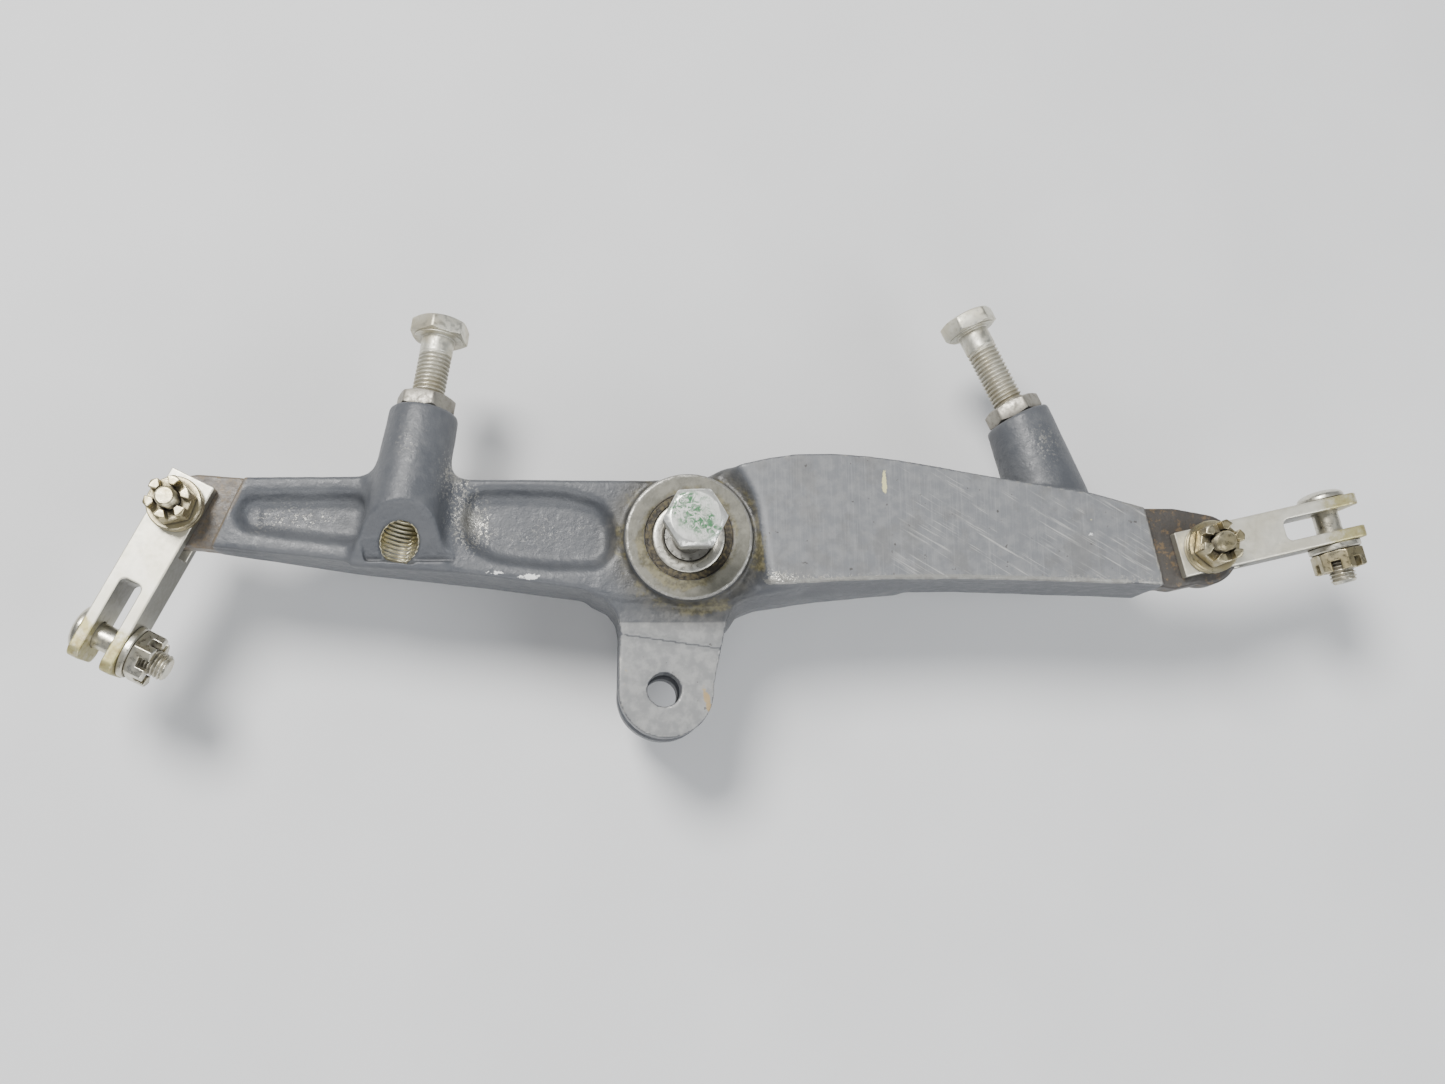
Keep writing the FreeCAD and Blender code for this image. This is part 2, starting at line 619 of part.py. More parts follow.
def make_clevis_pin(side):
    """Round-headed bolt with one washer and a thin castle nut. Local +Z runs
    from head to nut, and the local origin is midway between the two prongs."""
    name = side + "_clevis"
    turn = Rotation(Z_AXIS, Vector(0, CLEVIS_NUT_SIDE[side], 0)).multiply(
        Rotation(Z_AXIS, CLEVIS_BOLT_TURN[side]))
    place = pin_place(side, LINK_ANGLE[side]).multiply(
        Placement(Vector(SIZES["clevis_pin_at"], 0, 0), turn))
    nut_base = CLEVIS_SEAT + " + clevis_washer_thick"
    shank = cylinder(name + "_shank", "clevis_radius",
                     "%s + clevis_nut_height + clevis_proud + %s" % (nut_base, CLEVIS_SEAT),
                     "-(%s)" % CLEVIS_SEAT)
    # low domed head
    head_base = "-(%s) - clevis_head_height" % CLEVIS_SEAT
    head = cylinder(name + "_head", "clevis_head_radius", "clevis_head_height", head_base)
    dome = primitive("Sphere", name + "_dome", "%s + %s" % (head_base, CLEVIS_DOME_RADIUS),
                     Radius=CLEVIS_DOME_RADIUS)
    crown = common(name + "_crown", head, dome)
    piece(name + "_bolt", fuse(name + "_bolt_solid", [shank, crown]), place)

    outer = cylinder(name + "_washer_o", "clevis_washer_radius", "clevis_washer_thick",
                     CLEVIS_SEAT)
    inner = cylinder(name + "_washer_i", "clevis_radius", "clevis_washer_thick + 2",
                     CLEVIS_SEAT + " - 1")
    piece(name + "_washer", cut(name + "_wash", outer, inner), place)

    nut = castle_nut(name + "_nut_c", "clevis_radius", "clevis_nut_flats",
                     "clevis_nut_height", "clevis_slot", nut_base)
    piece(name + "_nut", nut, place)


# ---------------------------------------------------------------- build and export
make_casting()
make_bearing("upper", UPPER_RACE_BASE)
make_bearing("lower", LOWER_RACE_BASE)
make_race_spacer()
make_pivot_bolt()
for side in SIDES:
    make_stop(side)
    make_link(side)
    make_arm_pin(side)
    make_clevis_pin(side)

doc.recompute()
bad = [o.Name for o in doc.Objects if "Invalid" in o.State or "Error" in o.State]
assert not bad, "failed objects: %s" % bad
for name, obj in PIECES.items():
    shape = obj.Shape
    assert not shape.isNull() and shape.isValid() and shape.Volume > 0.5, name
os.makedirs("parts", exist_ok=True)
for name, obj in PIECES.items():
    obj.Shape.exportStep("parts/%s.step" % name)
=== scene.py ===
# A painted cast bellcrank on its pivot bolt, with two stop bolts and two clevis links.
# The pivot axis is Z through the origin, +Z towards the camera. The light arm runs out
# to the left (-X), the plated arm to the right (+X), and the lug hangs towards -Y.
# Sizes are in millimetres and are scaled to metres when the meshes are made.
import math
from itertools import product

import bmesh
import bpy
import numpy as np
from mathutils import Matrix, Vector


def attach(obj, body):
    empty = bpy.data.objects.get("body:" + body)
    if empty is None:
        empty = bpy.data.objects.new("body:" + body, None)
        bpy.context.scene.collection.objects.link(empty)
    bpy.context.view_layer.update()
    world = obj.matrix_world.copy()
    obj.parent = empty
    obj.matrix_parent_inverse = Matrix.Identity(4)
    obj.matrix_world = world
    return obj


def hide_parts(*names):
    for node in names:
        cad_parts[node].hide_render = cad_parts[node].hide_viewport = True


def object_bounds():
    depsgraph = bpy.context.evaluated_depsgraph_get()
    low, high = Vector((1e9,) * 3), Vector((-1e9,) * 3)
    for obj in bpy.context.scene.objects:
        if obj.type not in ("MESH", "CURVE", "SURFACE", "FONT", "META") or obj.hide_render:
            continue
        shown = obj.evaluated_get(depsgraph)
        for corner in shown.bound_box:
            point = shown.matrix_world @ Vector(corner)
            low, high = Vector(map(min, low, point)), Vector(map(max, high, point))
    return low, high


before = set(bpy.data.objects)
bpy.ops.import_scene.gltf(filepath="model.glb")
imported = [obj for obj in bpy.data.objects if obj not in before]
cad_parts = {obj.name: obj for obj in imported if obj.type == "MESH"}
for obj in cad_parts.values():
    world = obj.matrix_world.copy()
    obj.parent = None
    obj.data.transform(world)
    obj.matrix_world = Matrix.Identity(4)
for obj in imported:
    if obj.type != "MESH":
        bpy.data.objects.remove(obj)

CAD_BOX = [list(map(float, c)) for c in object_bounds()]
MM = 0.001


def unit(vector):
    vector = np.array(vector)
    return vector / np.linalg.norm(vector)


def arc(cx, cy, radius, start, end, steps):
    """Points along an arc, angles in degrees."""
    angles = [math.radians(start + (end - start) * i / steps) for i in range(steps + 1)]
    return [(cx + radius * math.cos(a), cy + radius * math.sin(a)) for a in angles]


def cut_corners(points):
    """Round a polygon's corners a little by cutting them twice."""
    points = [np.array(p, float) for p in points]
    for _ in range(2):
        finer = []
        for i, here in enumerate(points):
            after = points[(i + 1) % len(points)]
            finer += [here * 0.82 + after * 0.18, here * 0.18 + after * 0.82]
        points = finer
    return points


# ------------------------------------------------------------------ driving sizes
LEFT_PIN = np.array([-118.5, 7.9])
RIGHT_PIN = np.array([126.0, -2.9])
TONGUE_THICKNESS = 6.35
LEFT_TONGUE_Z = 14.65                # undersides of the tongues
RIGHT_TONGUE_Z = 18.45

# Stop bolts: where each meets the top of its boss, and the way it points out.
LEFT_SEAT = np.array([-62.6, 30.7, 22.0])
LEFT_AXIS = unit([0.149, 1.0, -0.125])
RIGHT_SEAT = np.array([84.2, 32.7, 14.0])
RIGHT_AXIS = unit([-0.41, 0.912, -0.04])
RIGHT_BOSS_AXIS = unit([-0.30, 0.953, -0.04])

FACET_POINT = np.array([-67.4, -1.7, 26.05])    # inclined flat of the left boss
FACET_TILT = math.radians(41.0)
FACET_NORMAL = np.array([0.0, -math.sin(FACET_TILT), math.cos(FACET_TILT)])

PLATE_TOP = 28.0
ARM_TOP = 24.0
HUB_RADIUS = 15.1
BORE_RADIUS = 8.6
SEAT_RADIUS = 10.34
EYE = (-5.8, -35.4)
EYE_RADIUS = 3.97
PIN_HOLE_RADIUS = 3.6
BOLT_PITCH = 1.058
BOLT_FLATS = 12.7
FAR = 60                             # beyond the casting, for open-ended cuts

# ------------------------------------------------------------------ outlines, (x, y)
FACET = [(-75.4, -5.3), (-76.2, -1.0), (-75.2, 3.6), (-71.8, 7.2), (-66.0, 9.0),
         (-60.8, 6.8), (-57.0, 2.6), (-53.8, -2.4), (-55.0, -5.3)]
LEFT_ARM = [(-104.0, 14.9), (-73.0, 15.2), (-48.7, 14.5), (-7.0, 14.4), (4.0, 8.0),
            (4.0, -12.0), (-8.0, -14.2), (-16.0, -14.0), (-20.4, -13.0), (-26.0, -11.7),
            (-51.3, -8.2), (-61.8, -7.0), (-78.8, -5.2), (-110.8, -1.6)]
WEB = [(-3.0, 14.7), (3.7, 14.9), (9.9, 16.7), (19.3, 19.1), (26.0, 19.7), (26.0, -11.6),
       (17.0, -13.5), (10.0, -15.5), (-3.0, -14.0)]
FLARE = [(2.0, 10.0), (40.0, 10.0), (52.0, -9.6), (41.9, -11.2), (33.0, -12.3),
         (25.8, -13.5), (17.1, -15.2), (12.4, -16.9), (9.8, -19.8), (2.0, -19.0)]
RIGHT_ARM = [(3.0, 15.4), (10.0, 17.0), (19.2, 19.1), (25.6, 20.0), (35.0, 20.2),
             (43.0, 19.7), (50.9, 18.7), (66.9, 15.9), (76.7, 14.2), (84.9, 12.9),
             (97.5, 10.9), (110.9, 7.2), (114.6, -11.9), (102.8, -11.4), (83.7, -10.7),
             (64.6, -10.2), (49.9, -10.2), (32.7, -10.8), (21.7, -11.4), (12.0, -11.2),
             (7.0, -5.0), (5.0, 5.0)]
LUG = ([(11.0, -10.0), (9.9, -17.0), (8.9, -20.5)]
       + arc(-5.3, -35.4, 11.3, 4, -186, 40)
       + [(-16.2, -21.0), (-16.9, -17.6), (-18.8, -14.8), (-22.0, -12.8), (-20.0, -9.0)])
LEFT_TONGUE = ([(-100.0, 14.6), (-104.0, 15.2), (-115.0, 16.1)]
               + arc(-118.5, 7.9, 7.9, 80, 210, 20)
               + [(-121.5, -1.0), (-114.6, -1.4), (-100.0, -3.0)])
RIGHT_TONGUE = ([(108.0, 6.0), (111.0, 7.6), (119.0, 7.6)]
                + arc(126.0, -2.6, 8.8, 76, -104, 24)
                + [(118.0, -12.4), (113.8, -11.7), (108.0, -9.0)])
OUTER_POCKET = (arc(-100.6, 6.3, 4.5, 100, 258, 14)
                + [(-80.0, -0.9), (-72.5, -1.6), (-71.0, 5.0), (-73.0, 11.0)])
INNER_POCKET = [(-51.5, 11.0), (-47.0, 11.9), (-30.0, 11.6), (-20.5, 8.8), (-17.4, 4.0),
                (-17.6, -3.0), (-21.0, -6.6), (-30.0, -7.0), (-46.4, -5.0), (-52.0, -1.0),
                (-53.0, 4.5)]

# Upright slabs of the casting: outline, bottom z, top z, edge rounding.
SLABS = {
    "left arm": (LEFT_ARM, 1.0, ARM_TOP, 0.9),
    "web": (WEB, 5.0, ARM_TOP, 1.5),
    "flare": (FLARE, 5.0, 17.0, 2.5),
    "right arm": (RIGHT_ARM, 5.0, PLATE_TOP, 0.45),
    "lug": (LUG, -2.0, 22.2, 0.3),
    "left tongue": (LEFT_TONGUE, LEFT_TONGUE_Z, LEFT_TONGUE_Z + TONGUE_THICKNESS, 0.15),
    "right tongue": (RIGHT_TONGUE, RIGHT_TONGUE_Z, RIGHT_TONGUE_Z + TONGUE_THICKNESS, 0.15),
}
# Dished pockets in the light arm: outline, floor z.
POCKETS = ((cut_corners(OUTER_POCKET), 20.6), (cut_corners(INNER_POCKET), 20.4))
# Upright round holes: x, y, radius, bottom z, top z, lip rounding.
HOLES = (
    (*EYE, EYE_RADIUS, -20, FAR, 0.25),
    (0, 0, BORE_RADIUS, -20, FAR, 0.2),
    (0, 0, SEAT_RADIUS, 19.4, FAR, 0.25),
    (0, 0, SEAT_RADIUS, -20, 8.6, 0.25),
    (*LEFT_PIN, PIN_HOLE_RADIUS, -20, FAR, 0.1),
    (*RIGHT_PIN, PIN_HOLE_RADIUS, -20, FAR, 0.1),
)
# Stop bolt holes: seat, axis, depth, radius of the tapped part.
STOP_HOLES = ((LEFT_SEAT, LEFT_AXIS, 36.6, 4.45), (RIGHT_SEAT, RIGHT_AXIS, 26.0, 4.0))


# ------------------------------------------------------------------ distance fields
def outline_distance(x, y, points):
    """Signed distance to a closed polygon, negative inside."""
    points = np.asarray(points, float)
    square = np.full(np.broadcast(x, y).shape, 1e9, np.float32)
    sign = np.ones(square.shape, np.float32)
    for i, end in enumerate(points):
        start = points[i - 1]
        edge_x, edge_y = start - end
        dx = x - end[0]
        dy = y - end[1]
        along = (dx * edge_x + dy * edge_y) / (edge_x * edge_x + edge_y * edge_y)
        along = np.clip(along, 0, 1)
        square = np.minimum(square, (dx - edge_x * along) ** 2 + (dy - edge_y * along) ** 2)
        above = y >= end[1]
        below = y < start[1]
        beside = edge_x * dy > edge_y * dx
        crossing = (above & below & beside) | (~above & ~below & ~beside)
        sign = np.where(crossing, -sign, sign)
    return (sign * np.sqrt(square)).astype(np.float32)


def extrude(flat, z, bottom, top, edge=0.0):
    """Give a flat distance field height, with rounded edges."""
    upright = np.abs(z - (bottom + top) / 2) - (top - bottom) / 2
    a = flat + edge
    b = upright + edge
    outside = np.sqrt(np.maximum(a, 0) ** 2 + np.maximum(b, 0) ** 2)
    return np.minimum(np.maximum(a, b), 0) + outside - edge


def smin(a, b, blend):
    """Union with a fillet of about the blend width."""
    overlap = np.clip(blend - np.abs(a - b), 0, None) / blend
    return np.minimum(a, b) - overlap * overlap * blend * 0.25


def smax(a, b, blend):
    """Intersection with a softened edge."""
    return -smin(-a, -b, blend)


def slab(name, x, y, z):
    outline, bottom, top, edge = SLABS[name]
    return extrude(outline_distance(x, y, outline), z, bottom, top, edge)


def cylinder(x, y, z, cx, cy, radius, bottom, top, edge):
    return extrude(np.sqrt((x - cx) ** 2 + (y - cy) ** 2) - radius, z, bottom, top, edge)


def plane(x, y, z, point, normal):
    return ((x - point[0]) * normal[0] + (y - point[1]) * normal[1]
            + (z - point[2]) * normal[2])


def about_axis(x, y, z, seat, axis):
    """Depth below the seat against the axis, and radius from the axis."""
    dx, dy, dz = x - seat[0], y - seat[1], z - seat[2]
    depth = -(dx * axis[0] + dy * axis[1] + dz * axis[2])
    square = ((dx + depth * axis[0]) ** 2 + (dy + depth * axis[1]) ** 2
              + (dz + depth * axis[2]) ** 2)
    return depth, np.sqrt(np.maximum(square, 1e-9))


def cone(x, y, z, seat, axis, top_radius, foot_radius, length, edge):
    depth, radius = about_axis(x, y, z, seat, axis)
    taper = (foot_radius - top_radius) / length
    side = (radius - (top_radius + taper * depth)) / math.sqrt(1 + taper * taper)
    return smax(smax(side, -depth, edge), depth - length, 1.0)


def left_step(x, y):
    """Distance inboard of the line where the left tongue leaves the casting."""
    return (x + 110.8) * 0.909 + (y + 0.6) * (-0.415)


def right_step(x, y):
    """Distance inboard of the line where the right tongue leaves the casting."""
    return -((x - 114.6) * 0.982 + (y + 11.9) * 0.19)


def casting_body(x, y, z):
    """Distance field of the casting before its bores."""
    # light arm, its underside rising towards the tip
    left = slab("left arm", x, y, z)
    underside = np.clip(1.0 + (-76.0 - x) * (11.0 / 36.0), 1.0, 12.0)
    left = smax(left, (underside - z) * 0.956, 1.5)
    hub = cylinder(x, y, z, 0, 0, HUB_RADIUS, 0.0, PLATE_TOP, 0.3)
    # the plate's inner end slopes down into the valley round the ring
    slope_x = 17.7 - 0.125 * y - 0.03 * np.maximum(y - 6.0, 0) ** 2
    slope = ((slope_x - x) * 0.62 + (z - PLATE_TOP) * 0.55) / 0.829
    right = smax(slab("right arm", x, y, z), slope, 1.6)
    # left boss, trimmed by its inclined flat, at its -Y end and underneath
    facet = plane(x, y, z, FACET_POINT, FACET_NORMAL)
    left_boss = cone(x, y, z, LEFT_SEAT, LEFT_AXIS, top_radius=8.1, foot_radius=9.6,
                     length=40.0, edge=0.9)
    for side, blend in ((facet, 0.5), (-5.3 - y, 0.6), (3.0 - z, 1.0)):
        left_boss = smax(left_boss, side, blend)
    # right boss, trimmed square to its bolt, above and underneath
    right_boss = cone(x, y, z, RIGHT_SEAT + RIGHT_BOSS_AXIS * 2.0, RIGHT_BOSS_AXIS,
                      top_radius=8.1, foot_radius=10.3, length=32.0, edge=0.2)
    end = plane(x, y, z, RIGHT_SEAT, RIGHT_AXIS)
    for side, blend in ((end, 0.9), (z - 27.3, 0.8), (2.6 - z, 0.8)):
        right_boss = smax(right_boss, side, blend)
    body = smin(left, slab("web", x, y, z), 2.0)
    right = smin(right, slab("flare", x, y, z), 5.0)
    body = smin(body, right, 2.6)
    body = smin(body, slab("lug", x, y, z), 3.6)
    for outline, floor_z in POCKETS:
        pocket = extrude(outline_distance(x, y, outline) + 0.2, z, floor_z, 60.0, 3.3)
        body = smax(body, -pocket, 2.3)
    body = smin(body, left_boss, 4.8)
    # keep the inclined flat of the boss clean
    body = smax(body, -smax(-facet, outline_distance(x, y, FACET), 0.3), 0.3)
    body = smin(body, right_boss, 2.0)
    body = smin(body, hub, 1.8)
    # shallow step on the upper ear of the lug
    step = (-(y + 22.3) - (x + 15.8) * 0.152) * 0.985
    body = smax(body, np.minimum(z - 21.3, (step + (z - 21.75) * 1.2) * 0.64), 0.15)
    # nothing above the plate face
    return np.where(x > 40, smax(body, z - PLATE_TOP, 0.3), body)


def casting_field(x, y, z):
    """Distance field of the finished casting."""
    body = casting_body(x, y, z)
    # clear the casting back from the tongues beyond the step lines
    body = np.where(x < -95, smax(body, -left_step(x, y), 0.3), body)
    body = np.where(x > 100, smax(body, -right_step(x, y), 0.3), body)
    for tongue in ("left tongue", "right tongue"):
        body = smin(body, slab(tongue, x, y, z), 0.5)
    # gap between the ears of the lug
    gap = np.maximum(np.abs(y + 43.5) - 20.5, np.abs(x + 5.0) - 25.0)
    body = smax(body, -extrude(gap, z, 5.5, 14.0, 0.6), 0.2)
    for *hole, lip in HOLES:
        body = smax(body, -cylinder(x, y, z, *hole, 0.0), lip)
    for seat, axis, length, tapped_radius in STOP_HOLES:
        depth, radius = about_axis(x, y, z, seat, axis)
        hole = radius - np.where(depth > 20.2, tapped_radius, 4.0)
        body = smax(body, -np.maximum(hole, depth - length), 0.3)
    return body


# ------------------------------------------------------------------ meshing a field
CORNERS = list(product((0, 1), repeat=3))


def grid_size(low, high, cell):
    return [int(math.ceil(v)) + 1 for v in (high - low) / cell]


def surface_nets(field, origin, cell):
    """Vertices and quads of the field's zero surface, one vertex per mixed cell."""
    inside = field < 0
    sx, sy, sz = (size - 1 for size in field.shape)
    count = np.zeros((sx, sy, sz), np.int8)
    for i, j, k in CORNERS:
        count += inside[i:sx + i, j:sy + j, k:sz + k]
    mixed = (count > 0) & (count < 8)
    index = np.full(count.shape, -1, np.int32)
    cells = np.argwhere(mixed)
    index[mixed] = np.arange(len(cells))
    total = np.zeros((len(cells), 3))
    crossings = np.zeros(len(cells))
    for near in CORNERS:
        for axis in range(3):
            if near[axis]:
                continue
            far = list(near)
            far[axis] = 1
            at_near = field[cells[:, 0] + near[0], cells[:, 1] + near[1], cells[:, 2] + near[2]]
            at_far = field[cells[:, 0] + far[0], cells[:, 1] + far[1], cells[:, 2] + far[2]]
            crossed = (at_near < 0) != (at_far < 0)
            share = at_near[crossed] / (at_near[crossed] - at_far[crossed])
            point = np.tile(np.array(near, float), (crossed.sum(), 1))
            point[:, axis] += share
            total[crossed] += point
            crossings[crossed] += 1
    verts = np.asarray(origin) + cell * (cells + total / crossings[:, None])
    quads = []
    for axis in range(3):
        first = [slice(1, -1)] * 3
        second = [slice(1, -1)] * 3
        first[axis] = slice(0, -1)
        second[axis] = slice(1, None)
        low_side = inside[tuple(first)]
        edges = np.argwhere(low_side != inside[tuple(second)])
        outward = low_side[tuple(edges.T)]
        place_in_grid = edges.copy()
        for other in range(3):
            if other != axis:
                place_in_grid[:, other] += 1
        u, v = [(1, 2), (2, 0), (0, 1)][axis]
        loop = []
        for du, dv in ((-1, -1), (0, -1), (0, 0), (-1, 0)):
            around = place_in_grid.copy()
            around[:, u] += du
            around[:, v] += dv
            loop.append(index[tuple(around.T)])
        loop = np.stack(loop, 1)
        loop[~outward] = loop[~outward][:, ::-1]
        quads.append(loop)
    return verts, np.concatenate(quads)


def relax(verts, quads, passes, amount):
    """Move each vertex towards the mean of its neighbours."""
    for _ in range(passes):
        total = np.zeros_like(verts)
        count = np.zeros(len(verts))
        for k in range(4):
            a, b = quads[:, k], quads[:, (k + 1) % 4]
            np.add.at(total, a, verts[b])
            np.add.at(count, a, 1)
            np.add.at(total, b, verts[a])
            np.add.at(count, b, 1)
        verts = verts * (1 - amount) + amount * total / count[:, None]
    return verts


def corner_weights(share):
    """Each corner of a cell with its trilinear weight."""
    for a, b, c in CORNERS:
        weight = ((share[:, 0] if a else 1 - share[:, 0])
                  * (share[:, 1] if b else 1 - share[:, 1])
                  * (share[:, 2] if c else 1 - share[:, 2]))
        yield a, b, c, weight


def sample(field, low, cell, points):
    """Field values between the grid points."""
    grid = (points - low) / cell
    index = np.clip(np.floor(grid).astype(int), 0, np.array(field.shape) - 2)
    value = 0
    for a, b, c, weight in corner_weights(np.clip(grid - index, 0, 1)):
        value = value + weight * field[index[:, 0] + a, index[:, 1] + b, index[:, 2] + c]
    return value


def hash3(i, j, k, seed):
    bits = (i * 374761393 + j * 668265263 + k * 2147483647 + seed * 1274126177) & 0xFFFFFFFF
    bits = ((bits ^ (bits >> 13)) * 1103515245) & 0xFFFFFFFF
    return ((bits ^ (bits >> 16)) & 0xFFFF) / 65535.0


def value_noise(points, size, seed):
    """Smooth noise from -1 to 1 with lumps of the given size."""
    grid = points / size
    index = np.floor(grid).astype(np.int64)
    share = grid - index
    value = 0
    for a, b, c, weight in corner_weights(share * share * (3 - 2 * share)):
        value = value + weight * hash3(index[:, 0] + a, index[:, 1] + b, index[:, 2] + c, seed)
    return value * 2 - 1


# ------------------------------------------------------------------ mesh helpers
def add_object(name, mesh):
    ob = bpy.data.objects.new(name, mesh)
    bpy.context.scene.collection.objects.link(ob)
    return ob


def face_object(name, verts, faces, sharp=None, outward=False):
    """Smooth object from mixed faces; edges over sharp degrees stay crisp."""
    mesh = bpy.data.meshes.new(name)
    verts = np.asarray(verts, float) * MM
    mesh.from_pydata([tuple(v) for v in verts], [], [tuple(int(i) for i in f) for f in faces])
    mesh.validate()
    mesh.update()
    mesh.polygons.foreach_set("use_smooth", [True] * len(mesh.polygons))
    if outward:
        bm = bmesh.new()
        bm.from_mesh(mesh)
        bmesh.ops.recalc_face_normals(bm, faces=bm.faces)
        bm.to_mesh(mesh)
        bm.free()
    if sharp is not None:
        mesh.set_sharp_from_angle(angle=math.radians(sharp))
    return add_object(name, mesh)


def quad_object(name, verts, quads):
    mesh = bpy.data.meshes.new(name)
    count = len(quads)
    mesh.vertices.add(len(verts))
    mesh.loops.add(4 * count)
    mesh.polygons.add(count)
    mesh.vertices.foreach_set("co", (np.asarray(verts) * MM).astype(np.float32).ravel())
    mesh.loops.foreach_set("vertex_index", quads.astype(np.int32).ravel())
    mesh.polygons.foreach_set("loop_start", np.arange(0, 4 * count, 4, dtype=np.int32))
    mesh.polygons.foreach_set("use_smooth", np.ones(count, bool))
    mesh.update(calc_edges=True)
    return add_object(name, mesh)


def vertex_normals(verts, quads):
    normals = np.zeros_like(verts)
    across = verts[quads[:, 2]] - verts[quads[:, 0]]
    back = verts[quads[:, 3]] - verts[quads[:, 1]]
    face_normals = np.cross(across, back)
    for k in range(4):
        np.add.at(normals, quads[:, k], face_normals)
    return normals / np.maximum(np.linalg.norm(normals, axis=1, keepdims=True), 1e-12)


def place(verts, matrix):
    return np.asarray(verts, float) @ matrix[:3, :3].T + matrix[:3, 3]


def aim(axis):
    """4x4 matrix turning Z onto the axis the short way."""
    turn = Vector((0, 0, 1)).rotation_difference(Vector(axis).normalized())
    return turn.to_matrix().to_4x4()


def frame_at(origin, axis, spin=0.0):
    """Frame with local Z along the axis, turned by spin degrees about it."""
    matrix = np.array(aim(axis) @ Matrix.Rotation(math.radians(spin), 4, "Z"))
    matrix[:3, 3] = origin
    return matrix


def turn_z(degrees):
    angle = math.radians(degrees)
    matrix = np.eye(4)
    matrix[0, 0] = matrix[1, 1] = math.cos(angle)
    matrix[0, 1] = -math.sin(angle)
    matrix[1, 0] = math.sin(angle)
    return matrix


def shift(x, y, z):
    matrix = np.eye(4)
    matrix[:3, 3] = (x, y, z)
    return matrix


# ------------------------------------------------------------------ turned and hexagon solids
def circle_angles(steps):
    return np.arange(steps) * 2 * np.pi / steps


def ring(radius, z, steps):
    """Ring of points; radius and z may vary round it."""
    angles = circle_angles(steps)
    return np.stack([radius * np.cos(angles), radius * np.sin(angles), np.full(steps, z)], 1)


def ring_faces(rows, steps, closed):
    faces = []
    for k in range(rows if closed else rows - 1):
        above = (k + 1) % rows
        for i in range(steps):
            j = (i + 1) % steps
            faces.append((k * steps + i, k * steps + j, above * steps + j, above * steps + i))
    return faces


def capped(rings):
    """Solid from stacked rings, its ends closed with fans to their centres."""
    rows, steps = len(rings), len(rings[0])
    verts = np.vstack([*rings, np.mean(rings[0], axis=0), np.mean(rings[-1], axis=0)])
    faces = ring_faces(rows, steps, closed=False)
    low = rows * steps
    last = low - steps
    faces += [(low, (i + 1) % steps, i) for i in range(steps)]
    faces += [(low + 1, last + i, last + (i + 1) % steps) for i in range(steps)]
    return verts, faces


def looped(rings):
    """Solid whose last ring joins its first."""
    return np.vstack(rings), ring_faces(len(rings), len(rings[0]), closed=True)


def lathe_loop(profile, steps):
    """Turned ring from a closed profile of (radius, z)."""
    return looped([ring(radius, z, steps) for radius, z in profile])


def solid_object(name, parts, matrix, sharp=32, outward=False):
    verts, faces, offset = [], [], 0
    for part_verts, part_faces in parts:
        verts.append(part_verts)
        faces += [tuple(i + offset for i in face) for face in part_faces]
        offset += len(part_verts)
    return face_object(name, place(np.vstack(verts), matrix), faces, sharp, outward)


HEX_STEPS = 144


def hex_radius(flats, corner_trim):
    """Radius of a hexagon round a circle, corners on local X and trimmed."""
    sixth = np.pi / 3
    angles = circle_angles(HEX_STEPS) + np.pi / 6
    from_flat = (angles + sixth / 2) % sixth - sixth / 2
    radius = (flats / 2) / np.cos(from_flat)
    return np.minimum(radius, flats / math.sqrt(3) - corner_trim)


def hex_head(flats, height, washer, crown=0.955, slope=27):
    """Head from z=0 to its height: washer face below, turned chamfer of slope degrees above."""
    radius = hex_radius(flats, corner_trim=0.12)
    crown_radius = flats / 2 * crown
    foot_radius = flats / 2 * 0.985
    washer_radius = flats / 2 * 0.93
    tan = math.tan(math.radians(slope))
    top = height - np.clip(radius - crown_radius, 0, None) * tan
    bottom = washer + np.clip(radius - foot_radius, 0, None) * tan * 0.8
    profile = [
        (washer_radius - 0.08, 0.0), (washer_radius, 0.08), (washer_radius, washer),
        (np.minimum(radius, foot_radius) - 0.02, washer), (radius - 0.05, bottom),
        (radius, bottom + 0.12), (radius, top - 0.12), (radius - 0.06, top - 0.01),
        (crown_radius - 0.05, height), (crown_radius - 0.3, height), (crown_radius * 0.5, height),
    ]
    return capped([ring(r, z, HEX_STEPS) for r, z in profile])


def hex_nut(flats, height, bore):
    """Plain nut, chamfered on both faces, with an open bore."""
    radius = hex_radius(flats, corner_trim=0.14)
    face_radius = flats / 2 * 0.965
    drop = np.clip(radius - face_radius, 0, None) * math.tan(math.radians(27))
    top = height - drop
    return lathe_loop([
        (bore + 0.35, 0.0), (face_radius, 0.0), (radius - 0.04, drop), (radius, drop + 0.12),
        (radius, top - 0.12), (radius - 0.05, top), (face_radius, height),
        (bore + 0.35, height), (bore, height - 0.35), (bore, 0.35)], HEX_STEPS)


def thread_profile(turns):
    """Height of a rounded 60 degree thread, 0 at the root to 1 at the crest."""
    from_crest = np.abs(turns % 1.0 - 0.5) * 2
    height = np.clip((1 - from_crest) * 1.30 - 0.12, 0, 1)
    return height * height * (3 - 2 * height) * 0.35 + height * 0.65


def threaded_rings(start, end, pitch, radius, depth, steps, per_turn, chamfer, runout):
    """Rings of a thread with a chamfered tip at start, fading out before end."""
    rows = max(4, int(round((end - start) / pitch * per_turn)))
    turns = circle_angles(steps) / (2 * np.pi)
    rings = []
    for z in np.linspace(start, end, rows + 1):
        local = radius - depth + depth * thread_profile(z / pitch - turns)
        if z > end - runout:
            fade = (z - (end - runout)) / runout
            local = local * (1 - fade) + radius * fade
        local = np.minimum(local, radius - chamfer + (z - start))
        rings.append(ring(local, z, steps))
    return rings


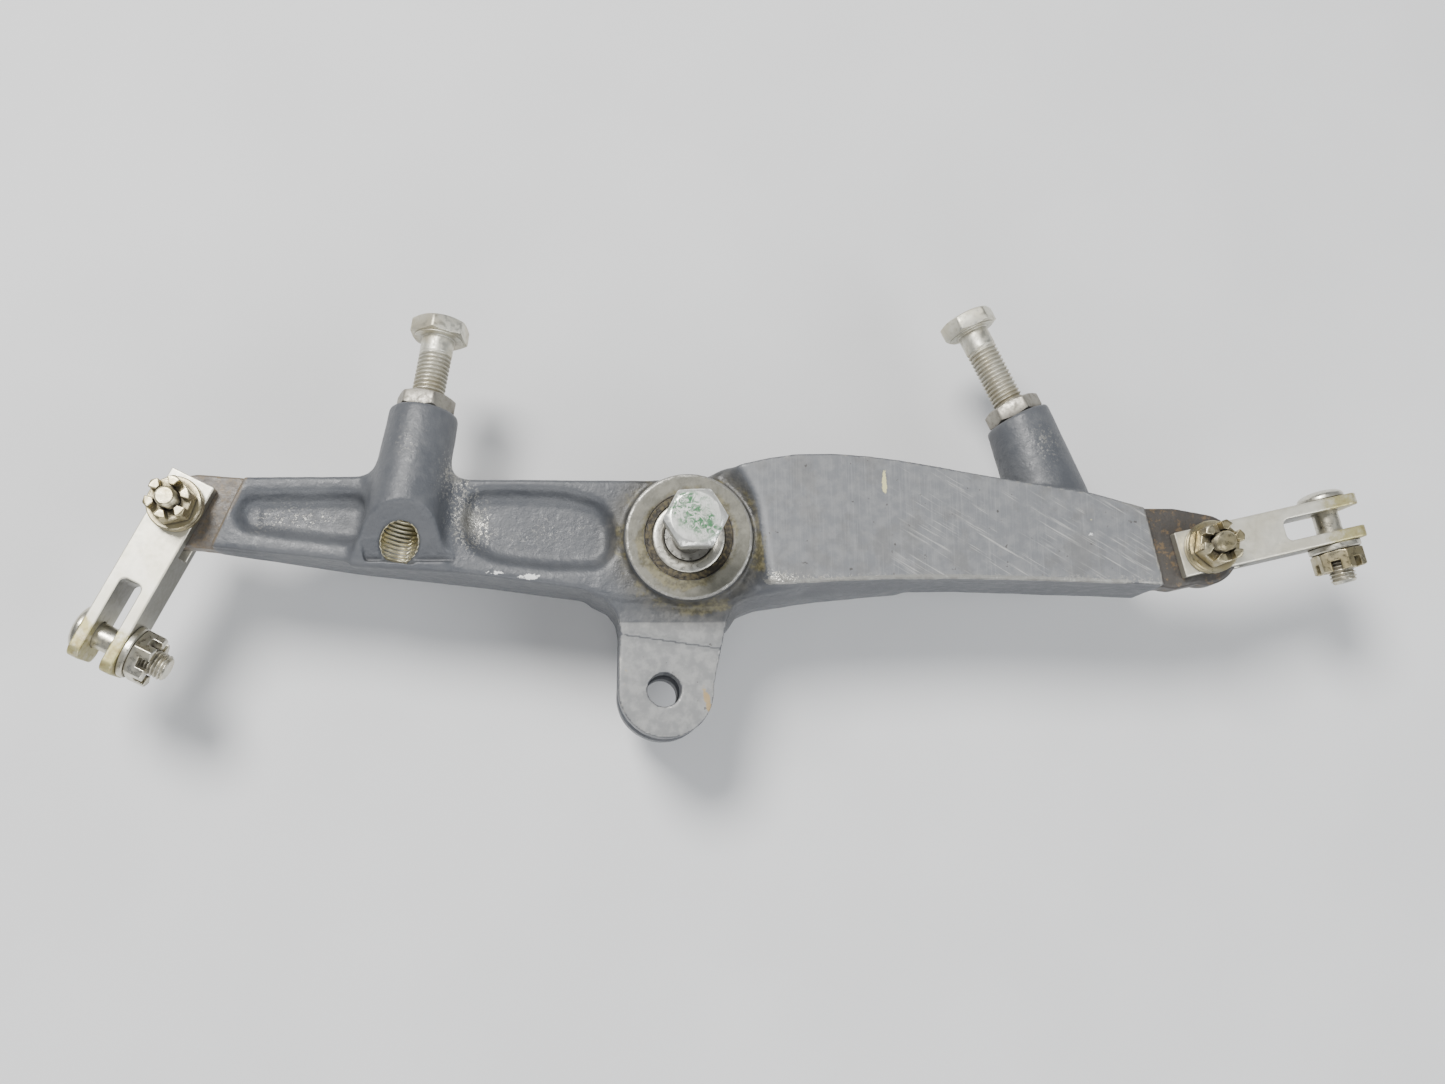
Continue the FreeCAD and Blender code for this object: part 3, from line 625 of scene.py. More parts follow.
# ------------------------------------------------------------------ material helpers
class Shader:
    """Material builder. Pattern sizes are in mm; each span is the input range of a ramp."""
    def __init__(self, name):
        self.mat = bpy.data.materials.new(name)
        self.mat.use_nodes = True
        self.tree = self.mat.node_tree
        self.tree.nodes.clear()
        self.link = self.tree.links.new
        output = self.node("OutputMaterial")
        self.bsdf = self.node("BsdfPrincipled")
        self.link(self.bsdf.outputs[0], output.inputs[0])
        self.place = self.node("TexCoord").outputs["Object"]

    def node(self, kind):
        return self.tree.nodes.new("ShaderNode" + kind)

    def put(self, socket, value):
        if hasattr(value, "links"):
            self.link(value, socket)
        elif isinstance(value, tuple):
            socket.default_value = (*value, 1.0)
        else:
            socket.default_value = value

    def mapping(self, scale=(1.0, 1.0, 1.0), turn=0.0, source=None):
        node = self.node("Mapping")
        self.link(source or self.place, node.inputs[0])
        node.inputs["Scale"].default_value = scale
        node.inputs["Rotation"].default_value = (0, 0, turn)
        return node.outputs[0]

    def noise(self, mm=1000.0, detail=4.0, rough=0.55, distort=0.0, vector=None):
        """Noise with grain of about mm; the default leaves the vector's own scale."""
        node = self.node("TexNoise")
        node.inputs["Scale"].default_value = 1000.0 / mm
        node.inputs["Detail"].default_value = detail
        node.inputs["Roughness"].default_value = rough
        node.inputs["Distortion"].default_value = distort
        self.link(vector or self.place, node.inputs["Vector"])
        return node.outputs["Fac"]

    def voronoi(self, mm):
        node = self.node("TexVoronoi")
        node.inputs["Scale"].default_value = 1000.0 / mm
        self.link(self.place, node.inputs["Vector"])
        return node.outputs["Distance"]

    def ramp(self, source, span, out=(0.0, 1.0)):
        """Smooth step from out[0] to out[1] as the source crosses the span."""
        node = self.node("MapRange")
        node.interpolation_type = "SMOOTHSTEP"
        node.clamp = True
        self.link(source, node.inputs["Value"])
        for side, start, end in (("From", *span), ("To", *out)):
            node.inputs[side + " Min"].default_value = start
            node.inputs[side + " Max"].default_value = end
        return node.outputs["Result"]

    def math(self, operation, a, b=0.0, clamp=False):
        node = self.node("Math")
        node.operation = operation
        node.use_clamp = clamp
        self.put(node.inputs[0], a)
        self.put(node.inputs[1], b)
        return node.outputs[0]

    def mul(self, a, b):
        return self.math("MULTIPLY", a, b)

    def add(self, a, b):
        return self.math("ADD", a, b)

    def sub(self, a, b, clamp=False):
        return self.math("SUBTRACT", a, b, clamp)

    def mix(self, mask, a, b):
        node = self.node("Mix")
        node.data_type = "RGBA"
        node.blend_type = "MIX"
        self.put(node.inputs[0], mask)
        self.put(node.inputs[6], a)
        self.put(node.inputs[7], b)
        return node.outputs[2]

    def cover(self, base, colour, mask, amount):
        """Lay a colour over the base where the mask is set, at most by amount."""
        return self.mix(self.mul(mask, amount), base, colour)

    def tones(self, source, span, low, high):
        """Two colours shared out by a pattern."""
        return self.mix(self.ramp(source, span), low, high)

    def ragged(self, value, amount, mm, detail=5.0, rough=0.7):
        """Value with noise added, so that its outline breaks up."""
        noise = self.noise(mm=mm, detail=detail, rough=rough)
        return self.add(value, self.mul(self.sub(noise, 0.5), amount))

    def channel(self, name, index):
        node = self.node("Attribute")
        node.attribute_name = name
        split = self.node("SeparateColor")
        self.link(node.outputs["Color"], split.inputs[0])
        return split.outputs[index]

    def xyz(self, source):
        node = self.node("SeparateXYZ")
        self.link(source, node.inputs[0])
        return node.outputs

    def normal_z(self):
        return self.xyz(self.node("NewGeometry").outputs["True Normal"])[2]

    def bump(self, height, mm, strength):
        node = self.node("Bump")
        node.inputs["Strength"].default_value = strength
        node.inputs["Distance"].default_value = mm * MM
        self.link(height, node.inputs["Height"])
        return node.outputs[0]

    def painted_corner_shade(self, mm, span, amount):
        """Mask of painted shade in corners closed in within mm."""
        node = self.node("AmbientOcclusion")
        node.samples = 8
        node.inputs["Distance"].default_value = mm * MM
        return self.mul(self.ramp(node.outputs["AO"], span), amount)

    def finish(self, **inputs):
        for name, value in inputs.items():
            self.put(self.bsdf.inputs[name.replace("_", " ")], value)
        return self.mat


# ------------------------------------------------------------------ materials
def metal(name, base, tint, rough, tint_amount=0.35, grime_and_shade=(0.10, 0.08, 0.055),
          corner_shade_amount=0.6, rough_spread=0.14):
    """Handled metal: cloudy tint, dark grime specks, painted shade in the corners."""
    m = Shader(name)
    big = m.noise(mm=5.0, detail=3.0, rough=0.5)
    mid = m.noise(mm=1.1, rough=0.6)
    fine = m.noise(mm=0.35, detail=3.0, rough=0.65)
    colour = m.tones(big, span=(0.35, 0.68), low=base, high=tint)
    colour = m.cover(colour, tuple(c * 0.62 for c in tint),
                     mask=m.ramp(mid, span=(0.50, 0.74)), amount=tint_amount)
    speck = m.ramp(m.noise(mm=0.6, detail=5.0, rough=0.75), span=(0.64, 0.76))
    colour = m.cover(colour, grime_and_shade, mask=speck, amount=0.22)
    # painted shade: corners closed in within 2 mm darken towards the grime colour, lose metal and
    # roughen
    corner_shade = m.painted_corner_shade(mm=2.0, span=(0.86, 0.34), amount=corner_shade_amount)
    rough_range = (rough - rough_spread * 0.5, rough + rough_spread)
    return m.finish(
        Base_Color=m.mix(corner_shade, colour, grime_and_shade),
        Metallic=m.sub(1.0, m.mul(corner_shade, 0.8)),
        Roughness=m.add(m.ramp(mid, span=(0.3, 0.7), out=rough_range), m.mul(corner_shade, 0.3)),
        Normal=m.bump(m.add(m.mul(fine, 0.6), m.mul(mid, 0.8)), mm=0.02, strength=0.8))


def greased_race():
    m = Shader("greased_race")
    noise = m.noise(mm=0.9, detail=5.0, rough=0.6)
    return m.finish(
        Base_Color=m.tones(noise, span=(0.42, 0.70), low=(0.022, 0.018, 0.012),
                           high=(0.10, 0.080, 0.036)),
        Metallic=0.2,
        Roughness=m.ramp(noise, span=(0.3, 0.7), out=(0.28, 0.55)),
        Normal=m.bump(noise, mm=0.12, strength=0.7))


def link_plate():
    """Pale link bar with painted shade on its sides and in its corners, and a yellow patina at its
    ends.
    """
    m = Shader("link_plate")
    big = m.noise(mm=7.0, detail=3.0, rough=0.5)
    mid = m.noise(mm=1.4, rough=0.6)
    colour = m.tones(big, span=(0.36, 0.66), low=(0.78, 0.755, 0.65), high=(0.70, 0.665, 0.54))
    tips = m.channel("tips", 0)
    patina = m.ramp(m.ragged(tips, amount=1.6, mm=2.6), span=(0.50, 1.05))
    patina_colour = m.tones(mid, span=(0.45, 0.68), low=(0.47, 0.42, 0.17),
                            high=(0.33, 0.26, 0.09))
    colour = m.cover(colour, patina_colour, mask=patina, amount=0.9)
    speck = m.ramp(m.noise(mm=0.55, detail=5.0, rough=0.8), span=(0.63, 0.74))
    colour = m.cover(colour, (0.24, 0.16, 0.06), mask=speck, amount=m.mul(tips, 0.55))
    # painted shade: faces turned away from +Z darken, less so at the tips
    side = m.mul(m.ramp(m.normal_z(), span=(0.60, 0.25)),
                 m.sub(1.0, m.mul(tips, 0.8), clamp=True))
    colour = m.cover(colour, (0.085, 0.083, 0.075), mask=side, amount=0.82)
    # painted shade in the corners, in a dark brown
    corner_shade = m.painted_corner_shade(mm=2.5, span=(0.62, 0.15), amount=0.8)
    line = m.noise(detail=3.0, rough=0.6, vector=m.mapping(scale=(90, 90, 2600)))
    return m.finish(
        Base_Color=m.mix(corner_shade, colour, (0.07, 0.055, 0.035)),
        Metallic=m.sub(0.66, m.mul(corner_shade, 0.6)),
        Roughness=m.add(m.ramp(mid, span=(0.3, 0.7), out=(0.34, 0.46)), m.mul(corner_shade, 0.3)),
        Normal=m.bump(m.add(m.mul(mid, 0.7), m.mul(line, 0.5)), mm=0.010, strength=0.8))


def pivot_steel():
    """Bright bolt with a thin green smear of inspection lacquer on its head."""
    m = Shader("pivot_steel")
    mid = m.noise(mm=1.2, rough=0.6)
    big = m.noise(mm=5.0, detail=3.0, rough=0.5)
    colour = m.tones(big, span=(0.38, 0.66), low=(0.90, 0.91, 0.86), high=(0.84, 0.845, 0.79))
    x, y, z = m.xyz(m.place)
    # lacquer lies in a loose diagonal band across the top face, heavier towards +Y
    diagonal = m.add(m.mul(x, 450.0), m.mul(y, 400.0))
    off_band = m.math("ABSOLUTE", m.ragged(diagonal, amount=7.0, mm=2.6, detail=4.0, rough=0.6))
    broken = m.noise(mm=1.5, detail=5.0, rough=0.7, distort=1.2)
    lacquer = m.mul(m.ramp(m.sub(1.0, off_band), span=(-2.0, 0.2)),
                    m.ramp(broken, span=(0.42, 0.54)))
    lacquer = m.mul(lacquer, m.ramp(z, span=(0.05120, 0.05165)))
    heavier = m.ramp(y, span=(-0.0075, -0.002))
    lacquer = m.mul(lacquer, m.add(m.mul(heavier, 0.75), 0.25))
    # painted shade on the sides of the head, then painted shadow on the shank below it
    colour = m.cover(colour, (0.26, 0.255, 0.235),
                     mask=m.ramp(m.normal_z(), span=(0.80, 0.30)), amount=0.62)
    colour = m.cover(colour, (0.07, 0.063, 0.048),
                     mask=m.ramp(z, span=(0.0460, 0.0450)), amount=0.85)
    colour = m.cover(colour, (0.014, 0.135, 0.036), mask=lacquer, amount=0.95)
    lines = m.noise(detail=2.0, rough=0.5, vector=m.mapping(scale=(2400, 160, 400), turn=0.7))
    scratch = m.ramp(lines, span=(0.60, 0.66))
    colour = m.cover(colour, (0.40, 0.39, 0.36), mask=scratch, amount=0.3)
    # painted shade in the corners, which also dulls the metal
    corner_shade = m.painted_corner_shade(mm=2.0, span=(0.82, 0.3), amount=0.7)
    dull = m.math("ADD", m.mul(lacquer, 0.75), m.mul(corner_shade, 0.7), clamp=True)
    return m.finish(
        Base_Color=m.mix(corner_shade, colour, (0.08, 0.065, 0.04)),
        Metallic=m.sub(0.78, dull),
        Roughness=m.ramp(mid, span=(0.3, 0.7), out=(0.27, 0.33)),
        Normal=m.bump(m.add(mid, m.mul(scratch, -0.5)), mm=0.006, strength=0.7))


def casting_paint():
    """Blue-grey paint over cast aluminium: grain, sanding lines, rubbed edges, grease and
    bare tongues, placed by the colour attributes from casting_masks."""
    m = Shader("worn_grey_paint")
    machined, wear, tongue = (m.channel("mask_a", i) for i in range(3))
    grease, edge, lug = (m.channel("mask_b", i) for i in range(3))
    yellow, white, ochre = (m.channel("mask_c", i) for i in range(3))
    ring_face, ring_foot_shade = (m.channel("mask_d", i) for i in range(2))
    big = m.noise(mm=16.0, detail=3.0, rough=0.5)
    mid = m.noise(mm=2.6, detail=5.0, rough=0.6)
    fine = m.noise(mm=0.55, rough=0.65)
    # paint, a little lighter and drier where it is rubbed
    paint = m.tones(big, span=(0.35, 0.68), low=(0.070, 0.075, 0.085),
                    high=(0.094, 0.099, 0.108))
    paint = m.cover(paint, (0.128, 0.132, 0.137), mask=m.ramp(mid, span=(0.45, 0.72)), amount=0.30)
    paint = m.cover(paint, (0.045, 0.047, 0.052), mask=m.ramp(fine, span=(0.56, 0.75)), amount=0.30)
    face = m.math("MAXIMUM", machined, lug)
    # chalky plate, paler lug, yellow-grey ring face, painted shade round the foot of the ring:
    # mask, amount, span, two tones
    for mask, amount, span, low, high in (
            (machined, 0.72, (0.4, 0.65), (0.196, 0.202, 0.210), (0.236, 0.240, 0.243)),
            (lug, 0.85, (0.4, 0.65), (0.262, 0.264, 0.260), (0.350, 0.350, 0.338)),
            (ring_face, 0.85, (0.38, 0.66), (0.132, 0.126, 0.092), (0.190, 0.181, 0.138)),
            (ring_foot_shade, 0.80, (0.36, 0.66), (0.034, 0.032, 0.026), (0.085, 0.078, 0.061))):
        paint = m.cover(paint, m.tones(mid, span, low, high), mask, amount)
    # straight sanding lines across the plate, and diagonal scratches towards its end
    x = m.xyz(m.place)[0]
    sanding = m.noise(rough=0.6, vector=m.mapping(scale=(2300, 60, 60)))
    slanted = m.mapping(scale=(75, 2100, 300), source=m.mapping(turn=0.55))
    scratch = m.mul(m.ramp(m.noise(rough=0.6, vector=slanted), span=(0.56, 0.68)),
                    m.mul(machined, m.ramp(x, span=(0.040, 0.060))))
    patch = m.ramp(m.noise(mm=9.0, detail=2.0, rough=0.5), span=(0.38, 0.56))
    scratch = m.mul(scratch, patch)
    paint = m.cover(paint, (0.29, 0.293, 0.293),
                    mask=m.mul(m.ramp(sanding, span=(0.52, 0.70)), machined), amount=0.30)
    # bare metal, by rubbed areas and along edges
    bare = m.tones(mid, span=(0.36, 0.68), low=(0.44, 0.432, 0.40), high=(0.31, 0.302, 0.275))
    pit = m.ramp(m.voronoi(mm=0.85), span=(0.10, 0.42))
    speckle = m.ramp(m.noise(mm=0.75, detail=5.0, rough=0.75), span=(0.47, 0.60))
    rubbed = m.ramp(m.add(m.mul(wear, 0.75), m.mul(speckle, 0.45)), span=(0.46, 0.86))
    chipped = m.ramp(m.ragged(m.mul(edge, 1.25), amount=1.25, mm=1.7), span=(0.38, 0.74))
    worn = m.math("MAXIMUM", m.mul(rubbed, 1.0), m.mul(chipped, 0.72))
    worn = m.mul(worn, m.sub(1.0, tongue))
    # smudges and a few dark pits on the plate
    smudge = m.ramp(m.noise(mm=8.0, rough=0.6), span=(0.50, 0.66))
    paint = m.cover(paint, (0.125, 0.122, 0.115), mask=m.mul(smudge, machined), amount=0.38)
    spots = m.ramp(m.noise(mm=1.5, detail=2.0, rough=0.5), span=(0.715, 0.755))
    paint = m.cover(paint, (0.05, 0.045, 0.04), mask=m.mul(spots, face), amount=0.8)
    colour = m.mix(worn, paint, bare)
    colour = m.cover(colour, (0.46, 0.455, 0.43), mask=scratch, amount=0.62)
    # unpainted tongues: brown-grey rusty metal, darker on the right arm
    rust = m.ramp(m.noise(mm=1.6, detail=5.0, rough=0.7), span=(0.42, 0.66))
    right_side = m.ramp(x, span=(-0.05, 0.05))
    metal_colour = m.mix(rust, (0.125, 0.110, 0.094), (0.175, 0.130, 0.078))
    dark_rust = m.tones(rust, span=(0.55, 1.0), low=(0.036, 0.033, 0.031),
                        high=(0.135, 0.090, 0.045))
    metal_colour = m.cover(metal_colour, dark_rust, mask=right_side, amount=0.80)
    metal_colour = m.cover(metal_colour, (0.05, 0.045, 0.04),
                           mask=m.ramp(fine, span=(0.5, 0.7)), amount=0.5)
    colour = m.mix(tongue, colour, metal_colour)
    # grease baked on the hub face
    greasy = m.ramp(m.ragged(grease, amount=1.9, mm=3.2), span=(0.36, 0.80))
    grease_colour = m.tones(m.noise(mm=1.3, rough=0.6), span=(0.38, 0.62),
                            low=(0.070, 0.060, 0.026), high=(0.165, 0.145, 0.070))
    colour = m.cover(colour, grease_colour, mask=greasy, amount=0.80)
    # paint dabs and a stain
    dab = m.ramp(m.ragged(yellow, amount=1.5, mm=1.1, detail=4.0), span=(0.45, 0.62))
    colour = m.mix(dab, colour, (0.62, 0.58, 0.30))
    dab = m.ramp(m.ragged(white, amount=1.7, mm=0.9, detail=4.0), span=(0.48, 0.60))
    colour = m.mix(dab, colour, (0.80, 0.80, 0.78))
    stain = m.ramp(m.ragged(ochre, amount=1.4, mm=1.3, detail=4.0), span=(0.40, 0.75))
    colour = m.cover(colour, (0.36, 0.24, 0.08), mask=stain, amount=0.75)
    # painted shade in the corners, in a dark grey
    corner_shade = m.painted_corner_shade(mm=5.0, span=(0.75, 0.25), amount=0.6)
    rough = m.ramp(mid, span=(0.3, 0.7), out=(0.36, 0.52))
    rough = m.sub(rough, m.mul(worn, 0.10))
    rough = m.add(rough, m.mul(m.sub(1.0, face), 0.03))
    # surface relief: cast orange-peel off the machined faces, sanding on them
    peel = m.add(m.mul(m.noise(mm=1.25, detail=3.0), 1.0), m.mul(fine, 0.35))
    relief = m.mul(peel, m.sub(1.0, m.mul(face, 0.85)))
    relief = m.add(relief, m.mul(m.mul(sanding, machined), 0.30))
    relief = m.add(relief, m.mul(worn, -0.18))
    relief = m.add(relief, m.mul(m.mul(pit, wear), 0.5))
    return m.finish(
        Base_Color=m.mix(corner_shade, colour, (0.045, 0.043, 0.040)),
        Metallic=m.mul(m.sub(worn, greasy, clamp=True), 0.85),
        Roughness=rough,
        Normal=m.bump(relief, mm=0.16, strength=0.85),
        Specular_IOR_Level=0.6)


MAT = {
    "cadmium": metal("cadmium", base=(0.52, 0.47, 0.33), tint=(0.42, 0.36, 0.21), rough=0.30,
                     grime_and_shade=(0.030, 0.022, 0.012), corner_shade_amount=1.0),
    "cadmium_pale": metal("cadmium_pale", base=(0.66, 0.64, 0.56), tint=(0.60, 0.56, 0.44),
                          rough=0.30, tint_amount=0.3, grime_and_shade=(0.09, 0.075, 0.05),
                          corner_shade_amount=0.8),
    "stop_steel": metal("stop_steel", base=(0.70, 0.685, 0.60), tint=(0.60, 0.56, 0.44),
                        rough=0.46, grime_and_shade=(0.10, 0.08, 0.05), corner_shade_amount=0.65,
                        rough_spread=0.18),
    "jam_steel": metal("jam_steel", base=(0.42, 0.40, 0.345), tint=(0.34, 0.32, 0.28),
                       rough=0.48, tint_amount=0.5, grime_and_shade=(0.12, 0.115, 0.11),
                       corner_shade_amount=0.8, rough_spread=0.2),
    "bearing_steel": metal("bearing_steel", base=(0.38, 0.375, 0.35), tint=(0.32, 0.31, 0.28),
                           rough=0.30, tint_amount=0.2, grime_and_shade=(0.06, 0.05, 0.035),
                           corner_shade_amount=0.8),
    "shield_steel": metal("shield_steel", base=(0.56, 0.55, 0.50), tint=(0.56, 0.54, 0.47),
                          rough=0.33, tint_amount=0.3, grime_and_shade=(0.07, 0.055, 0.035),
                          corner_shade_amount=0.7),
    "bronze": metal("bronze", base=(0.40, 0.28, 0.14), tint=(0.33, 0.22, 0.11), rough=0.42,
                    tint_amount=0.4),
    "tapped_thread": metal("tapped_thread", base=(0.60, 0.57, 0.44), tint=(0.52, 0.47, 0.30),
                           rough=0.34, grime_and_shade=(0.05, 0.045, 0.03), corner_shade_amount=0.5),
    "casting": casting_paint(),
    "link": link_plate(),
    "pivot": pivot_steel(),
    "greased": greased_race(),
}


def finish(ob, body, material, replaces=None):
    ob.data.materials.clear()
    ob.data.materials.append(MAT[material])
    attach(ob, body)
    if replaces:
        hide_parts(replaces)


def set_color(ob, name, *channels):
    attribute = ob.data.color_attributes.new(name, "FLOAT_COLOR", "POINT")
    data = np.ones((len(ob.data.vertices), 4), np.float32)
    data[:, :3] = np.clip(np.stack(channels, 1), 0, 1)
    attribute.data.foreach_set("color", data.ravel())


# ------------------------------------------------------------------ casting
# Soft spots of each mask: strength, x, y, radius x, radius y[, z, radius z[, turn]].
WEAR_SPOTS = (
    (0.95, -51.5, 4.5, 4.5, 6.5), (0.75, -54.5, 15.0, 3.0, 5.0), (0.36, -90.0, 5.5, 9.0, 3.4),
    (0.26, -100, 5.0, 3.5, 4.0), (0.24, -32.0, 1.5, 12.0, 5.0),
    (0.45, 20.5, -9.8, 4.5, 2.2, 28, 1.5), (0.30, 88, 24, 5.0, 7.0),
    (0.28, -66, 22, 4, 7, 30, 4))
GREASE_SPOTS = ((0.55, 17.5, -4.5, 2.0, 8.0, 25, 4.0), (0.45, 6.0, -16.5, 8.0, 1.8, 23, 3))
# bare metal along the top arc of the boss's inclined flat: a painted highlight on that edge, and
# edge wear
FACET_ARC_WEAR_AND_HIGHLIGHT_SPOTS = ((0.75, -66, 8.0, 5, 3.0, 32.5, 3),)
# painted shade where the lug meets the hub
RING_FOOT_SHADE_SPOTS = ((0.8, 1.0, -17.5, 13.0, 3.2),)
YELLOW_SPOTS = ((1.2, 47.0, 13.0, 0.55, 3.2, 28, 0.8), (0.6, 97.5, 4.0, 0.9, 0.5, 28, 0.6))
WHITE_SPOTS = ((1.0, -37.4, -8.9, 2.6, 0.9, 24, 1.2), (0.75, -45.0, -8.0, 3.0, 0.6, 24, 1.0),
               (0.8, 97.0, 0.5, 0.9, 0.45, 28, 0.6))
OCHRE_SPOTS = ((1.0, 4.3, -38.0, 0.9, 4.2, 21.6, 1.6, 0.25),
               (0.5, -14.8, -34, 0.9, 5, 21.6, 1.5))


def smooth_step(value, start, end):
    share = np.clip((value - start) / (end - start), 0, 1)
    return share * share * (3 - 2 * share)


def bell(distance, width):
    return np.exp(-(distance / width) ** 2)


def spots(points, rows):
    """Sum of soft elliptical spots."""
    x, y, z = points.T
    total = np.zeros(len(points))
    for strength, cx, cy, rx, ry, *rest in rows:
        cz, rz, turn = (*rest, None, 1.0, 0.0)[:3] if not rest else (*rest, 0.0)[:3]
        cos, sin = math.cos(turn), math.sin(turn)
        along = ((x - cx) * cos + (y - cy) * sin) / rx
        across = (-(x - cx) * sin + (y - cy) * cos) / ry
        square = along * along + across * across
        if cz is not None:
            square = square + ((z - cz) / rz) ** 2
        total += strength * np.exp(-square)
    return total


def casting_masks(verts, normals, edge):
    """Colour attributes for the paint, and the height of the cast skin."""
    x, y, z = verts.T
    up = normals[:, 2]
    radius = np.hypot(x, y)
    plate = (z > 27.2) & (x > 12.0) & (radius > 15.4) & (up > 0.75)
    ring_face = (z > 27.5) & (radius < 15.3) & (up > 0.8)
    lug_face = (z > 21.0) & (y < -19.5) & (up > 0.8)
    in_hole = ((radius < 10.6) & (z < 27.8)) | (np.hypot(x - EYE[0], y - EYE[1]) < 4.2)
    machined = np.where(plate, smooth_step(z, 27.2, 27.9) * smooth_step(up, 0.80, 0.985), 0.0)

    # bare metal beyond wavering paint lines, and partly in the bore
    waver = value_noise(verts, 2.2, seed=5)
    left_line = -(left_step(x, y) - 0.9 + waver * 0.35)
    right_line = -(right_step(x, y) - 0.4 + waver * 0.28)
    tongue = (np.where(x < -95, smooth_step(left_line, -0.25, 0.25), 0)
              + np.where(x > 95, smooth_step(right_line, -0.2, 0.2), 0))
    tongue = np.maximum(tongue, np.where(radius < 10.6, 0.6, 0.0))

    # rubbed areas, with a band along the plate's -Y side
    band = (0.85 * smooth_step(-y, 7.8, 11.0) * smooth_step(x, 15, 20)
            * (0.55 + 0.45 * smooth_step(-x, -52, -30)))
    wear = spots(verts, WEAR_SPOTS) + np.where(plate, band, 0)
    wear = wear + 0.10 * value_noise(verts, 5.0, seed=9)
    wear = np.where(up < -0.2, 0.1, wear)

    # how far the edges of each region are worn; later rows win
    edge_wear = np.full(len(verts), 0.10)
    plate_rim = (x > 16) & (z > 26.3)
    for region, strength in (
            (plate_rim & (y < -6), 1.0),
            (plate_rim & (y > 4), 0.32),
            ((x > 105) & (z > 26.3), 0.5),
            ((radius > 13.5) & (radius < 16) & (z > 26.8), 0.75),
            ((y < -18) & (z > 20.4), 0.42),
            ((y < -18) & (z <= 20.4), 0.22)):
        edge_wear = np.where(region, strength, edge_wear)
    # edge wear, with a painted highlight on the top arc of the boss's inclined flat
    edge_wear = np.maximum(edge_wear, spots(verts, FACET_ARC_WEAR_AND_HIGHLIGHT_SPOTS))
    # the light arm's +Y and -Y top edges, then the boss foot, left nearly whole
    edge_wear = np.maximum(edge_wear, 0.35 * bell(y - 15, 1.2) * (x < -10) * (z > 22.5))
    lower_edge = (x < -18) & (z > 22.5) & (y < 0) & (y < -1.0 - (x + 110) * 0.06)
    edge_wear = np.where(lower_edge, np.maximum(edge_wear, 0.35), edge_wear)
    edge_wear = np.where((x > -82) & (x < -50) & (y < -3.0), 0.04, edge_wear)
    edge = edge * edge_wear

    # grease in two uneven lobes round the bore, round the ring's foot, and in spots
    angle = np.arctan2(y, x)
    lobes = (0.86 + 0.26 * np.cos(angle - math.radians(238))
             + 0.26 * np.cos(2 * (angle - math.radians(48))))
    from_bore = np.maximum(radius - 10.6, 0)
    grease = np.where(ring_face, lobes * bell(from_bore, 1.1 + 1.1 * lobes), 0.0)
    grease += 0.42 * bell(radius - 16.3, 2.4) * (z < 27.2) * (z > 8)
    grease += spots(verts, GREASE_SPOTS)

    # painted shade in the valley round the foot of the ring and where the lug meets the hub
    ring_foot_shade = bell(np.maximum(radius, 16.0) - 16.0, 3.6) * (radius > 15.2) * (z < 27.2) * (z > 6)
    ring_foot_shade = np.maximum(ring_foot_shade, spots(verts, RING_FOOT_SHADE_SPOTS) * (z > 10))
    ring_foot_shade = ring_foot_shade * (1 - 0.75 * machined)

    bare_face = np.where(lug_face | ring_face, 1.0, 0.0)
    masks = {
        "mask_a": (machined, wear, tongue),
        "mask_b": (grease, edge * (1 + 0.4 * plate), np.where(ring_face, 0.42, bare_face * 0.85)),
        "mask_c": [spots(verts, rows) for rows in (YELLOW_SPOTS, WHITE_SPOTS, OCHRE_SPOTS)],
        "mask_d": (np.where(ring_face, 1.0, 0.0), ring_foot_shade, np.zeros(len(verts))),
    }
    # cast skin: low lumps and fine grain on everything that was not machined
    flat = np.clip(machined + bare_face + tongue + in_hole + (z > 27.5), 0, 1)
    lumps = (value_noise(verts, 9.0, seed=2) * 0.10 + value_noise(verts, 3.4, seed=3) * 0.05
             + value_noise(verts, 1.3, seed=4) * 0.028)
    pits = -np.clip(value_noise(verts, 1.0, seed=7) - 0.25, 0, 1) * 0.16 * np.clip(wear, 0, 1)
    return masks, (lumps + pits) * (1 - flat)


def build_casting():
    cell = 0.42
    low = np.array([-128.5, -49.0, -4.5])
    high = np.array([136.5, 39.0, 37.0])
    size = grid_size(low, high, cell)
    grid_x, grid_y, grid_z = (
        (low[i] + cell * np.arange(size[i])).astype(np.float32) for i in range(3))
    field = np.empty(size, np.float32)
    layers = 64                      # worked through in layers to save memory
    for i in range(0, size[0], layers):
        field[i:i + layers] = casting_field(
            grid_x[i:i + layers][:, None, None], grid_y[None, :, None], grid_z[None, None, :])
    verts, quads = surface_nets(field, low, cell)
    # light relaxation takes the stair-steps off the oblique faces
    verts = relax(verts, quads, passes=2, amount=0.5)
    normals = vertex_normals(verts, quads)
    # the field a millimetre under the skin is shallower than that near an edge
    edge = np.clip(1.0 + sample(field, low, cell, verts - normals), 0, 1) * 2.6
    masks, skin = casting_masks(verts, normals, edge)
    ob = quad_object("bellcrank_casting_skin", verts + normals * skin[:, None], quads)
    for name, channels in masks.items():
        set_color(ob, name, *channels)
    finish(ob, "crank", "casting", replaces="bellcrank_casting")


